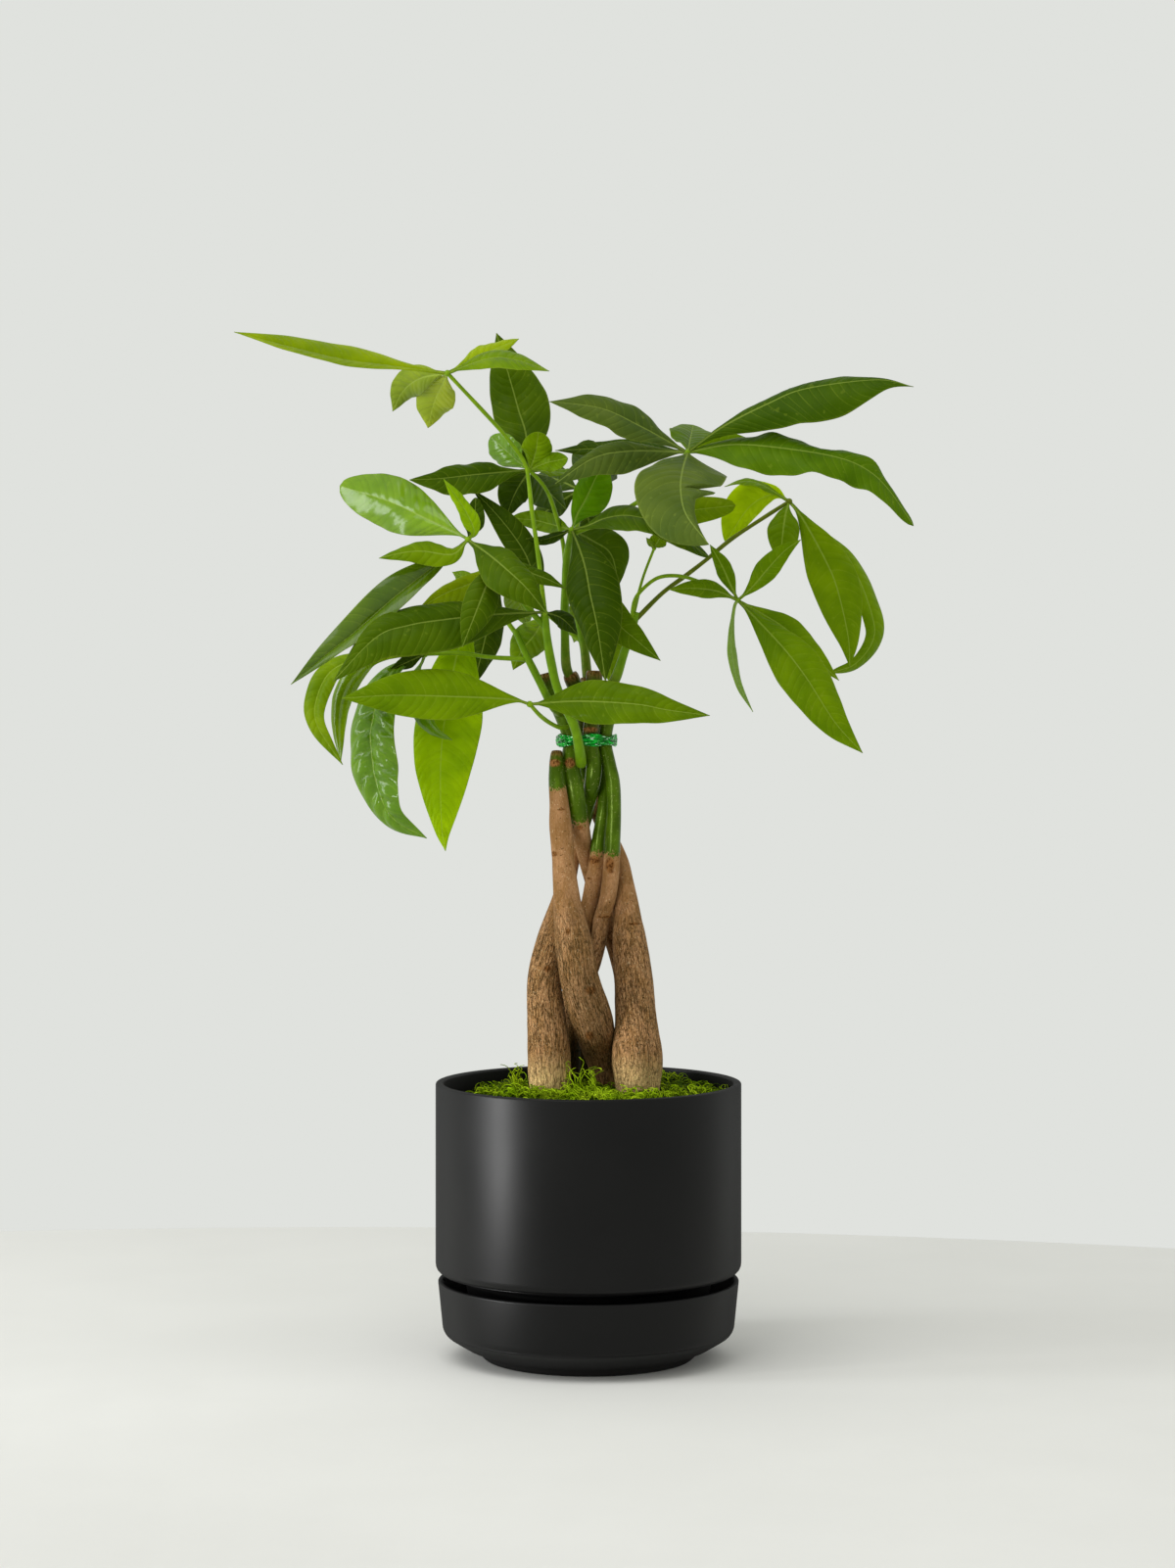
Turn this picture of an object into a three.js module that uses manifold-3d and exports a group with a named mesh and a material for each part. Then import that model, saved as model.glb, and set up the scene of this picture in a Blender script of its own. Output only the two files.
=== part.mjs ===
// A money tree in a round pot on a saucer: stems braided together, tied near the top, with
// green shoots that carry fans of long leaflets. Millimetres, +Z up, the saucer's foot on z = 0.
import * as THREE from 'three';
import { mergeVertices } from 'three/addons/utils/BufferGeometryUtils.js';
import Module from 'manifold-3d';

const wasm = await Module();
wasm.setup();

// Driving sizes
const POT_DIAMETER = 165;
const POT_HEIGHT = 139;
const POT_WALL = 4.3;
const POT_STRAIGHT_FROM = 51;
const POT_FOOT_RADIUS = 60;
const POT_FOOT_FLARE = 7;
const DRAIN_RADIUS = 7;
const SAUCER_FLOOR = 9.3;
const SAUCER_HEIGHT = 42;
const SAUCER_RADIUS = 81.2;
const SAUCER_FOOT_RADIUS = 56;
const SAUCER_WALL = 2.6;
const SOIL_TOP = 136;
const MOSS_TOP = 145;
const MOSS_RADIUS = 67;
const MOSS_CENTRE_X = 5;
const MOSS_LUMP = 2;
const MOSS_SCALLOP = 2.5;
const MOSS_EDGE_DROP = 2.5;
const GAP = 0.3;
const BLADE_THICKNESS = 0.8;
const ROUND_SIDES = 40;
const SOIL_SIDES = 28;
const MOSS_SIDES = 30;
const MOSS_RINGS = 5;
const STEM_SIDES = 8;
const STEM_STEPS_PER_POINT = 1.4;
const STALK_SIDES = 8;
const PETIOLE_SIDES = 6;

// The front view that places are read in: a frame 1200 wide and 1601 high, seen level, in which
// the pot is POT_VIEW_WIDTH wide. A place is across, down, and millimetres behind the trunk.
const POT_VIEW_WIDTH = 312;
const AXIS_ACROSS = 601;
const GROUND_DOWN = 1385;
const EYE_DOWN = 670;
const VIEW_LENGTH = 3700;
const VIEW_SCALE = POT_DIAMETER / POT_VIEW_WIDTH;
const EYE_DISTANCE = VIEW_LENGTH * VIEW_SCALE;
const EYE_HEIGHT = (GROUND_DOWN - EYE_DOWN) * VIEW_SCALE;

function seen([across, down, behind]) {
  const scale = (EYE_DISTANCE + behind) / VIEW_LENGTH;
  const x = (across - AXIS_ACROSS) * scale;
  return new THREE.Vector3(x, behind, EYE_HEIGHT - (down - EYE_DOWN) * scale);
}

// Colours
const paint = {
  pot: { color: '#1b1b1c', roughness: 0.5, metalness: 0 },
  soil: { color: '#2c2018', roughness: 1, metalness: 0 },
  moss: { color: '#6f8d2a', roughness: 1, metalness: 0 },
  bark: { color: '#8a7350', roughness: 0.9, metalness: 0 },
  tie: { color: '#1f8a3c', roughness: 0.25, metalness: 0.9 },
  leaf: { color: '#4f7a1c', roughness: 0.4, metalness: 0 },
};

// Stems: across, down, behind, half width in the view, from the cut top down into the soil.
const STEMS = {
  stem_front: [
    [568.5, 767, -9, 6], [568.5, 783, -11, 7.8], [569, 800, -12.5, 8.8], [571, 820, -13, 9.8],
    [572.3, 840, -13, 11.4], [574.5, 865, -13, 11.7], [575.3, 880, -13, 11.4], [579, 920, -15, 14],
    [585, 960, -19, 18.5],
    [592, 1000, -20, 19.5], [604, 1040, -12, 21.5], [612, 1070, 1, 18], [618, 1100, 7, 15],
    [619, 1150, 8, 15], [619, 1200, 8, 14],
  ],
  stem_left: [
    [607, 685, -5, 8.5], [606, 720, -6, 8.5], [603, 756, -6, 8], [606.5, 780, -4, 8.3],
    [605, 800, -3, 8.2], [600.5, 820, 4, 7.8], [596, 840, 10, 7.5], [590, 860, 14.5, 7.5],
    [584.5, 880, 16, 7.5], [579, 900, 13, 9.5], [575, 920, 7, 12], [565, 960, 1, 17],
    [556, 1000, -7, 17.5], [558, 1040, -11, 19.8], [560, 1070, -13, 21.6], [561, 1100, -15, 21.5],
    [563, 1130, -15, 19], [566, 1200, -15, 16],
  ],
  stem_right: [
    [600, 692, 19, 8], [600, 720, 18, 8], [595.5, 741, 14.2, 7.4], [594.5, 756, 9.7, 7.4],
    [597, 785, 11, 8], [604, 810, 13, 8], [613, 835, 14, 8], [625, 860, 13, 8], [634, 880, 10, 8],
    [637.5, 900, 7, 9.5], [639, 920, 4, 12.6], [641, 940, 2, 14.8], [643, 960, 0, 17.5],
    [647, 1000, -3, 19.5], [649.5, 1040, -8, 21], [651, 1080, -13, 26], [651, 1118, -15, 22],
    [651, 1200, -15, 19],
  ],
  stem_green: [
    [621, 702, 5, 7.5], [621, 730, 3, 7.5], [617.5, 756, -1, 7.3], [622.5, 780, -4, 6.5],
    [626, 800, -5, 7.3], [626.8, 830, -6, 7.5], [625.7, 860, -6, 7.9], [624.6, 880, -5, 8.5],
    [623.3, 900, -3.5, 8.4], [620, 920, -1.5, 8.2], [614, 940, 2, 8.2], [611, 960, 4, 8.5],
    [602, 985, 6, 11], [589, 1010, 10, 13], [580, 1040, 14, 15], [577, 1070, 17, 16],
    [577, 1120, 18, 16], [577, 1200, 18, 16],
  ],
  stem_rear: [
    [582, 688, 3, 8], [588, 702, 4, 8], [601, 725, 4.2, 7.8], [611, 756, 7.2, 7.6],
    [616, 780, 7, 7.5], [617.5, 800, 5.5, 7.2], [617, 820, 1.5, 6.6], [614, 840, 1, 6.5],
    [611.2, 860, 1, 7.2], [609.8, 880, 2, 8.4], [606.3, 900, 3, 8.6], [602, 920, 4, 8.2],
    [598, 945, 9, 10.3], [588, 980, 18, 10], [588, 1010, 27, 11.5], [592, 1050, 33, 13],
    [600, 1100, 38, 15], [603, 1200, 40, 15],
  ],
  stem_middle: [
    [558, 687, -2, 8], [563, 705, -2, 8], [574, 730, -3, 8], [583, 756, -3, 8.2],
    [582.3, 780, -5, 9.6], [585.3, 800, -7, 10], [589.3, 825, -7, 9.9], [592.5, 845, -3, 9.8],
    [596, 862, 5, 9], [600.5, 880, 10.8, 9], [607, 901, 13.5, 9.3], [614.5, 922, 15.5, 10],
    [621.5, 942, 17, 10.5], [628.5, 962, 18, 10.5], [634, 980, 19, 11], [639, 1000, 20, 12],
    [644, 1040, 20, 14], [646, 1100, 20, 15], [646, 1200, 20, 15],
  ],
};

// Leafy shoots. A stalk is a route with the radius at each end. A leaf has a stalk that ends at its
// hub and leaflets round it. A leaflet has its rib from hub to tip, and for the hand on its left and
// right, looking to the tip, how wide it looks in the view and how far its edge lies behind the rib,
// with a peak and a bluntness of its own where that hand differs from the other.
const SHOOTS = {
  shoot_front: {
    stalks: [
      { route: [[593.5, 780, -9.5], [592, 767, -20], [586, 740, -24], [570, 705, -26], [563, 677, -28],
        [559, 653, -30], [556, 625, -30]], radius: [2.9, 2.1] },
      { route: [[556, 640, -29], [528, 606, -36], [514, 572, -48]], radius: [1.6, 1.3] },
    ],
    leaves: [
      { stalk: [[557, 632, -29], [550, 570, -26], [543, 520, -22], [540, 492, -18], [536, 473, -18],
        [520, 450, -20], [500, 427, -23]], hub: [457, 381, -30], leaflets: [
        { rib: [[397, 374, -38], [347, 367, -46], [305, 357, -54], [239, 339, -66]],
          left: [5, -13], right: [15, 11] },
        { rib: [[430, 386, -10], [412, 399, 10], [401, 420, 24]], left: [15, 4], right: [17, 4] },
        { rib: [[450, 396, -8], [443, 412, 10], [437, 437, 26]], left: [20, 6], right: [21, 6] },
        { rib: [[500, 366, -44], [528, 368, -56], [561, 379, -68]], left: [8, 12], right: [11, -10] },
        { rib: [[478, 370, -22], [500, 359, -12], [530, 346, 0]], left: [9, 8], right: [11, -6] },
      ] },
      { stalk: [[553, 636, -29], [528, 606, -36], [500, 576, -40]], hub: [478, 551, -44], leaflets: [
        { rib: [[468, 545, -43], [430, 527, -34], [397, 512, -20], [347, 496, 0]],
          left: [28, 4], right: [27, 6], peak: 0.55, blunt: 0.5 },
        { rib: [[484, 542, -44], [473, 518, -42], [453, 489, -40]],
          left: [8, -5], right: [9, 5], peak: 0.3 },
        { rib: [[484, 532, -28], [486, 508, -24]], left: [10, 0], right: [11, 0], blunt: 0.6 },
        { rib: [[500, 567, -60], [519, 583, -70], [538, 601, -76], [558, 626, -78]],
          left: [17, 4], right: [26, -2], peak: 0.45 },
        { rib: [[462, 566, -52], [433, 563, -54], [414, 564, -56], [387, 570, -58]],
          left: [14, -3], right: [10, 6], peak: 0.42 },
        { rib: [[440, 581, -46], [405, 608, -50], [365, 643, -54], [330, 671, -58], [297, 699, -62]],
          left: [13, -6], right: [21, 0], peak: 0.42 },
      ] },
      { stalk: [[556, 632, -30]], hub: [556, 625, -32], leaflets: [
        { rib: [[546, 592, -20], [535, 563, -14], [512, 531, -10], [483, 500, -6]],
          left: [15, -2], right: [16, 2], peak: 0.45 },
        { rib: [[500, 628, -50], [452, 633, -56], [416, 639, -60], [384, 651, -62], [340, 696, -62]],
          left: [33, -6], right: [19, 6] },
        { rib: [[574, 632, -26], [590, 648, -22]], left: [9, 4], right: [9, -4] },
        { rib: [[548, 645, -12], [533, 664, 0], [524, 684, 6]], left: [18, 4], right: [18, 4] },
      ] },
      { stalk: [[520, 584, -44]], hub: [512, 568, -50], leaflets: [
        { rib: [[498, 595, -60], [488, 620, -66], [472, 661, -70]], left: [18, 2], right: [17, 2] },
        { rib: [[540, 584, -44], [560, 592, -42], [578, 601, -40]], left: [7, 3], right: [8, -3] },
        { rib: [[488, 592, -40], [455, 606, -42], [427, 622, -44]], left: [14, -3], right: [10, 3] },
      ] },
    ],
  },
  shoot_left: {
    stalks: [
      { route: [[574, 729, -4], [567, 724, -12], [560, 714, -15], [548, 690, -15], [537, 668, -14],
        [526, 643, -12]], radius: [2.4, 1.7] },
    ],
    leaves: [
      { stalk: [[537, 673, -14], [500, 671, -14], [471, 667, -13]], hub: [434, 668, -12], leaflets: [
        { rib: [[375, 672, -4], [340, 684, 6], [324, 712, 10], [324, 740, 10], [350, 781, 6]],
          left: [11, -4], right: [12, 4], peak: 0.6 },
        { rib: [[385, 672, 4], [362, 690, 14], [350, 712, 16], [346, 740, 16], [348, 778, 12]],
          left: [10, -4], right: [10, 4], peak: 0.6 },
        { rib: [[396, 690, -26], [380, 739, -34], [380, 770, -38], [386, 804, -42], [401, 835, -44],
          [436, 856, -44]], left: [25, -9], right: [22, 10] },
        { rib: [[425, 700, -20], [440, 740, -26], [462, 756, -28]], left: [7, -4], right: [12, 5] },
        { rib: [[420, 674, -20], [398, 684, -24]], left: [7, 2], right: [7, -2] },
      ] },
      { stalk: [[527, 647, -12], [508, 622, -8]], hub: [492, 612, -6], leaflets: [
        { rib: [[480, 636, -8], [467, 668, -10], [455, 730, -14], [450, 780, -18], [451, 843, -22],
          [455, 869, -24]], left: [38, 4], right: [30, 4] },
        { rib: [[476, 592, 8], [462, 584, 20]], left: [9, 4], right: [9, -4] },
        { rib: [[500, 590, 10], [506, 572, 26]], left: [10, 3], right: [10, 3] },
      ] },
    ],
  },
  shoot_middle: {
    stalks: [
      { route: [[582, 692, 2], [578, 678, 1], [577, 648, 2], [577, 610, 3], [579, 570, -2],
        [584, 541, -14]], radius: [2.6, 1.9] },
    ],
    leaves: [
      { stalk: [[578, 590, 2], [575, 555, 2], [565, 517, 0], [556, 497, -2]], hub: [541, 480, -2],
        leaflets: [
          { rib: [[537, 443, 8], [530, 420, 14], [523, 395, 20], [507, 340, 26]],
            left: [27, 4], right: [32, 6], peak: 0.42 },
          { rib: [[526, 468, 3], [513, 456, 8], [501, 446, 13]], left: [16, 7], right: [15, -7],
            peak: 0.6, blunt: 0.5 },
          { rib: [[547, 462, -10], [550, 441, -18]], left: [15, 2], right: [16, -2], peak: 0.6, blunt: 0.5 },
          { rib: [[558, 473, -12], [580, 468, -20]], left: [10, 4], right: [10, -4], peak: 0.6, blunt: 0.6 },
          { rib: [[518, 482, -6], [484, 485, -12], [448, 489, -18], [418, 490, -22]],
            left: [20, -8], right: [13, 6] },
          { rib: [[532, 493, 6], [524, 508, 12], [516.5, 529, 18]], left: [14, 2], right: [19, -2], peak: 0.45 },
          { rib: [[552, 494, 14], [566, 508, 30], [578, 520, 40]], left: [14, 4], right: [20, -2] },
          { rib: [[566, 482, 4], [600, 484, 14]], left: [4, 8], right: [4, -8] },
        ] },
      { stalk: [[582, 552, -9]], hub: [584, 541, -14], leaflets: [
        { rib: [[592, 561, -30], [598, 581, -38], [603, 608, -46], [610, 640, -52], [618.5, 696, -54]],
          left: [32, 2], right: [23, 4], peak: 0.42 },
        { rib: [[610, 600, -22], [630, 635, -30], [648, 652, -32], [674.6, 674.6, -34]],
          left: [16, 2], right: [17, -2], peak: 0.6 },
        { rib: [[605, 552, 0], [624, 566, 6], [632, 598, 10]], left: [20, 4], right: [14, 2] },
        { rib: [[600, 537, -22], [620, 529, -30], [645, 527, -38], [680, 538, -44], [724, 569, -48]],
          left: [10, 8], right: [15, -8], peak: 0.4, blunt: 0.6 },
        { rib: [[590, 524, -6], [598, 510, -2], [611, 483, 4], [622, 466, 6]],
          left: [15, 2], right: [23, 2] },
        { rib: [[570, 546, -16], [552, 551, -18], [537, 550, -20]], left: [7, 2], right: [4, -4] },
        { rib: [[566, 536, 10], [546, 531, 20], [523, 529, 26]], left: [10, 3], right: [11, -3], blunt: 0.5 },
        { rib: [[640, 532, 2], [700, 522, 10], [751, 516, 14]], left: [14, 3], right: [15, -3],
          peak: 0.7, blunt: 0.45 },
      ] },
      { stalk: [[586, 545, -12], [620, 530, -16], [655, 510, -24], [682, 484, -38]], hub: [702, 462, -44],
        leaflets: [
          { rib: [[653, 435, -56], [613, 417, -62], [561, 410, -66]], left: [18, -8], right: [15, 8] },
          { rib: [[738, 436, -52], [785, 412, -58], [823, 397, -62], [895, 388, -68], [933, 395, -72]],
            left: [5, 10], right: [36, -8], peak: 0.6, blunt: 1.5 },
          { rib: [[749, 454, -52], [808, 459, -62], [858, 468, -68], [887, 481, -70],
            [908, 501, -72], [933, 537, -72]], left: [10, 8], right: [26, -8], peak: 0.25, blunt: 0.6 },
          { rib: [[697, 480, -68], [695, 500, -84], [701, 526, -100], [724, 556, -112]],
            left: [46, 4, 0.18, 1.5], right: [47, 4], peak: 0.42, blunt: 0.8 },
          { rib: [[681, 461, -38], [641, 461, -38], [606, 468, -36], [567, 494, -34]],
            left: [22, -4], right: [10, 4] },
          { rib: [[665, 458, -24], [620, 458, -14], [567, 460, -8]], left: [10, -3], right: [9, 3] },
          { rib: [[705, 448, -20], [708, 434, 10]], left: [23, 0], right: [26, 0], peak: 0.6, blunt: 0.6 },
          { rib: [[735, 451, -34], [770, 450, -26]], left: [9, 2], right: [8, -2] },
        ] },
    ],
  },
  shoot_right: {
    stalks: [
      { route: [[621, 704, 5], [629, 692, 4], [637, 668, 2], [646, 640, 0], [650, 625, 0]],
        radius: [2.8, 2] },
    ],
    leaves: [
      { stalk: [[648, 634, 0], [676, 606, 2], [700, 588, 4], [722, 571, 6], [745, 552, 8],
        [770, 535, 8]], hub: [806, 512, 10], leaflets: [
        { rib: [[820, 530, 6], [843, 572, 0], [855, 601, -4], [866, 649, -8], [868, 681, -10]],
          left: [24, 2], right: [25, 2] },
        { rib: [[838, 545, 18], [872, 582, 24], [891, 630, 24], [891, 655, 20], [873, 678, 14],
          [849, 686.5, 10]],
          left: [10, 6], right: [10, -2], blunt: 0.5 },
        { rib: [[802, 526, 4], [799, 549, -2], [797, 575, -4]], left: [17, 2], right: [16, 2] },
        { rib: [[789, 505, 16], [765, 518, 26], [741, 554, 34]], left: [12, 0], right: [24, 0], blunt: 0.7 },
        { rib: [[775, 494, 14], [756, 492, 18], [740, 497, 20]], left: [4, -5], right: [3, 5] },
      ] },
      { stalk: [[645, 634, -1], [648, 614, -2], [656, 602, -4], [672, 590, -6], [692, 588, -8],
        [712, 593, -12], [736, 604, -14]], radius: [1.1, 0.9], hub: [753.5, 613, -16], leaflets: [
        { rib: [[746, 597, -14], [737, 577, -10], [725, 556, -6]], left: [8, 2], right: [9, 2] },
        { rib: [[768, 600, -22], [785, 580, -28], [802, 562, -32], [818, 551, -34]],
          left: [12, 2], right: [11, -2] },
        { rib: [[733, 604, -22], [710, 601, -26], [683, 602, -30]], left: [9, -2], right: [10, 2] },
        { rib: [[750, 620, -20], [747, 645, -24], [748, 670, -26], [755, 700, -28], [769, 727, -30]],
          left: [4.5, 6], right: [4.5, -6] },
        { rib: [[776, 636, -30], [802, 664, -38], [824, 693, -44], [853, 738, -50], [881, 769, -54]],
          left: [23, 3], right: [26, -3] },
        { rib: [[782, 629, -12], [806, 645, -10], [829, 668, -8], [857, 695, -8]],
          left: [14, 3], right: [12, -3] },
      ] },
      { stalk: [[647, 628, 0], [656, 592, 0]], radius: [0.9, 0.7], hub: [668, 560, 0], leaflets: [
        { rib: [[672, 553, -4], [676, 545, -6]], left: [9, 1], right: [9, -1], blunt: 0.5 },
        { rib: [[663, 553, -6], [660, 549, -9]], left: [3, 1], right: [3, -1] },
      ] },
    ],
  },
  shoot_low: {
    stalks: [],
    leaves: [
      { stalk: [[582, 742, -3], [573, 743, -15], [563, 739, -27], [552, 731, -38]],
        hub: [541, 719, -46], leaflets: [
          { rib: [[520, 714, -52], [455, 711, -60], [400, 710, -66], [349, 713, -70]],
            left: [25, -3], right: [28, 3], peak: 0.5 },
          { rib: [[591, 716, -52], [649, 719, -60], [682, 725, -64], [725, 730.6, -68]],
            left: [22, 3], right: [23, -3], peak: 0.38 },
        ] },
    ],
  },
  shoot_back: {
    stalks: [
      { route: [[600, 694, 19], [597, 664, 22], [592, 640, 28], [590, 600, 36], [588, 540, 46]],
        radius: [2.6, 1.8] },
    ],
    leaves: [
      { stalk: [[588, 545, 46], [592, 520, 54]], hub: [592, 500, 62], leaflets: [
        { rib: [[612, 486, 76], [628, 478, 98], [632, 484, 118]], left: [12, 4], right: [12, 6] },
        { rib: [[596, 476, 84], [602, 462, 108], [606, 470, 140]], left: [15, 4], right: [15, 4] },
        { rib: [[570, 490, 82], [550, 484, 112]], left: [14, 4], right: [14, 4] },
        { rib: [[600, 525, 76], [606, 566, 96]], left: [15, 4], right: [15, 4] },
        { rib: [[566, 516, 70], [542, 534, 92]], left: [13, 4], right: [13, 4] },
      ] },
      { stalk: [[590, 590, 38], [604, 594, 48]], hub: [614, 600, 60], leaflets: [
        { rib: [[620, 640, 72], [624, 700, 84]], left: [16, 4], right: [16, 4] },
        { rib: [[620, 604, 82], [624, 618, 118]], left: [10, 4], right: [11, 4] },
        { rib: [[604, 586, 84], [598, 588, 130]], left: [16, 4], right: [16, 4] },
        { rib: [[598, 622, 80], [586, 656, 110]], left: [16, 4], right: [16, 4] },
      ] },
      { stalk: [[594, 655, 25], [560, 628, 34], [536, 606, 44]], hub: [512, 594, 54], leaflets: [
        { rib: [[490, 606, 64], [452, 640, 84]], left: [15, 4], right: [15, 4] },
        { rib: [[500, 634, 66], [484, 700, 80]], left: [17, 4], right: [17, 4] },
        { rib: [[506, 580, 80], [494, 584, 122]], left: [15, 4], right: [15, 4] },
        { rib: [[526, 606, 78], [540, 640, 112]], left: [15, 4], right: [15, 4] },
      ] },
    ],
  },
};

// Blades and tubes

const HUB_RADIUS = 2;
const STALK_RADIUS = [1.35, 1.1];
const LEAST_HALF_WIDTH = 1.5;
const STATION_SPACING = 13;
const STATION_COUNTS = [3, 7];
const MERGE_WITHIN = 1e-5;

function catmull(points) {
  return new THREE.CatmullRomCurve3(points, false, 'catmullrom', 0.5);
}

function closedGeometry(positions, index) {
  const geometry = new THREE.BufferGeometry();
  geometry.setAttribute('position', new THREE.Float32BufferAttribute(positions, 3));
  geometry.setIndex(index);
  return geometry;
}

// How wide a blade is along its rib, from 0 at the hub to 1 at its widest and 0 at the tip.
function bladeWidth(t, peak, blunt) {
  if (t < peak) return (0.5 - 0.5 * Math.cos((Math.PI * t) / peak)) ** 0.8;
  return Math.cos(((t - peak) / (1 - peak)) * (Math.PI / 2)) ** blunt;
}

// The three lines of a blade, left edge, rib and right edge, at one place along it.
function bladeStation(curve, t, { left, right, peak = 0.5, blunt = 1 }) {
  const point = curve.getPointAt(t);
  const way = curve.getTangentAt(t).setZ(0).normalize();
  const edge = ([width, behind, ownPeak = peak, ownBlunt = blunt], hand) => {
    const wide = bladeWidth(t, ownPeak, ownBlunt);
    const reach = Math.max(width * wide, LEAST_HALF_WIDTH) * hand;
    return seen([point.x + way.y * reach, point.y - way.x * reach, point.z + behind * wide]);
  };
  return [edge(left, 1), seen([point.x, point.y, point.z]), edge(right, -1)];
}

function bladeGeometry(hub, leaflet) {
  const places = [hub, ...leaflet.rib].map((p) => new THREE.Vector3(...p));
  const curve = catmull(places);
  const length = curve.getLength() * VIEW_SCALE;
  const count = THREE.MathUtils.clamp(Math.round(length / STATION_SPACING), ...STATION_COUNTS);
  const lines = [];
  for (let i = 0; i <= count; i += 1) lines.push(bladeStation(curve, i / count, leaflet));
  const positions = [];
  lines.forEach((line, i) => {
    const before = lines[Math.max(i - 1, 0)][1];
    const after = lines[Math.min(i + 1, count)][1];
    const along = after.clone().sub(before);
    const across = line[0].clone().sub(line[2]);
    const lift = across.cross(along).setLength(BLADE_THICKNESS / 2);
    const upper = line.map((p) => p.clone().add(lift));
    const lower = line.map((p) => p.clone().sub(lift)).reverse();
    [...upper, ...lower].forEach((p) => positions.push(p.x, p.y, p.z));
  });
  return closedGeometry(positions, ringFaces(count, lines[0].length * 2));
}

// Faces between successive rings of points, with a flat cap at each end.
function ringFaces(spans, sides) {
  const index = [];
  for (let i = 0; i < spans; i += 1) {
    for (let j = 0; j < sides; j += 1) {
      const a = i * sides + j;
      const b = i * sides + ((j + 1) % sides);
      index.push(a, a + sides, b, b, a + sides, b + sides);
    }
  }
  const last = spans * sides;
  for (let j = 1; j < sides - 1; j += 1) {
    index.push(0, j, j + 1);
    index.push(last, last + j + 1, last + j);
  }
  return index;
}

// A round stalk along a route, its radius read along the route as the route's points are.
function stalkGeometry(centres, radii, sides, steps) {
  const curve = catmull(centres);
  const girth = catmull(radii.map((r) => new THREE.Vector3(r, 0, 0)));
  const positions = [];
  for (let i = 0; i <= steps; i += 1) {
    const t = i / steps;
    const centre = curve.getPoint(t);
    const along = curve.getTangent(t);
    const side = new THREE.Vector3(0, 1, 0).cross(along).normalize();
    const front = side.clone().cross(along);
    const radius = girth.getPoint(t).x;
    for (let j = 0; j < sides; j += 1) {
      const angle = (j / sides) * Math.PI * 2;
      const p = centre.clone();
      p.addScaledVector(side, Math.cos(angle) * radius).addScaledVector(front, Math.sin(angle) * radius);
      positions.push(p.x, p.y, p.z);
    }
  }
  return closedGeometry(positions, ringFaces(steps, sides));
}

// Solids that can be joined and cut

function solidOf(geometry) {
  const bare = geometry.clone();
  bare.deleteAttribute('normal');
  bare.deleteAttribute('uv');
  const merged = mergeVertices(bare, MERGE_WITHIN);
  const vertProperties = new Float32Array(merged.attributes.position.array);
  const triVerts = new Uint32Array(merged.index.array);
  return new wasm.Manifold(new wasm.Mesh({ numProp: 3, vertProperties, triVerts }));
}

function geometryOf(solid) {
  const mesh = solid.getMesh();
  const geometry = closedGeometry(Array.from(mesh.vertProperties), Array.from(mesh.triVerts));
  geometry.computeVertexNormals();
  return geometry;
}

function joined(solids) {
  return solids.reduce((all, next) => all.add(next));
}

// Pot, saucer, soil and moss

function turned(profile, sides = ROUND_SIDES) {
  const geometry = new THREE.LatheGeometry(profile.map(([r, z]) => new THREE.Vector2(r, z)), sides);
  return geometry.rotateX(Math.PI / 2);
}

const RIM_CHAMFER = 0.8;
const potRadius = POT_DIAMETER / 2;
const potTop = SAUCER_FLOOR + POT_HEIGHT;
const potInner = potRadius - POT_WALL;
const potFloor = SAUCER_FLOOR + GAP + POT_WALL;
const potLowRadius = POT_FOOT_RADIUS + POT_FOOT_FLARE;
const potShoulder = POT_STRAIGHT_FROM - POT_WALL;

function potGeometry() {
  const foot = SAUCER_FLOOR + GAP;
  const profile = [
    [DRAIN_RADIUS, foot], [POT_FOOT_RADIUS, foot], [potLowRadius, potShoulder - 3],
    [potRadius - 4, potShoulder], [potRadius - 1.2, potShoulder + 1.2], [potRadius, POT_STRAIGHT_FROM],
    [potRadius, potTop - RIM_CHAMFER], [potRadius - RIM_CHAMFER, potTop],
    [potInner + RIM_CHAMFER, potTop], [potInner, potTop - RIM_CHAMFER],
    [potInner, POT_STRAIGHT_FROM + 1.5], [potLowRadius - POT_WALL, potShoulder + 2],
    [POT_FOOT_RADIUS - POT_WALL, potFloor], [DRAIN_RADIUS, potFloor], [DRAIN_RADIUS, foot],
  ];
  return turned(profile);
}

function saucerGeometry() {
  const inner = SAUCER_RADIUS - SAUCER_WALL;
  const profile = [
    [0, 0], [SAUCER_FOOT_RADIUS, 0], [SAUCER_FOOT_RADIUS + 5, 5], [SAUCER_RADIUS - 16, 6],
    [SAUCER_RADIUS - 4.5, 13], [inner, 16], [SAUCER_RADIUS, SAUCER_HEIGHT - RIM_CHAMFER],
    [SAUCER_RADIUS - RIM_CHAMFER, SAUCER_HEIGHT], [inner + RIM_CHAMFER, SAUCER_HEIGHT],
    [inner, SAUCER_HEIGHT - RIM_CHAMFER], [SAUCER_RADIUS - 6, 17], [SAUCER_RADIUS - 17, SAUCER_FLOOR],
    [0, SAUCER_FLOOR],
  ];
  return turned(profile);
}

function soilGeometry() {
  const floor = potFloor + GAP;
  const profile = [
    [0, floor], [POT_FOOT_RADIUS - POT_WALL - 2 * GAP, floor],
    [potLowRadius - POT_WALL - 2 * GAP, potShoulder + 2.4], [potInner - GAP, POT_STRAIGHT_FROM + 2],
    [potInner - GAP, SOIL_TOP], [0, SOIL_TOP],
  ];
  return turned(profile, SOIL_SIDES);
}

function mossHeight(x, y) {
  const lumps = Math.sin(x * 0.21 + 1) * Math.cos(y * 0.24) + 0.6 * Math.sin(x * 0.43 + y * 0.37);
  return MOSS_TOP + MOSS_LUMP * lumps;
}

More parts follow.
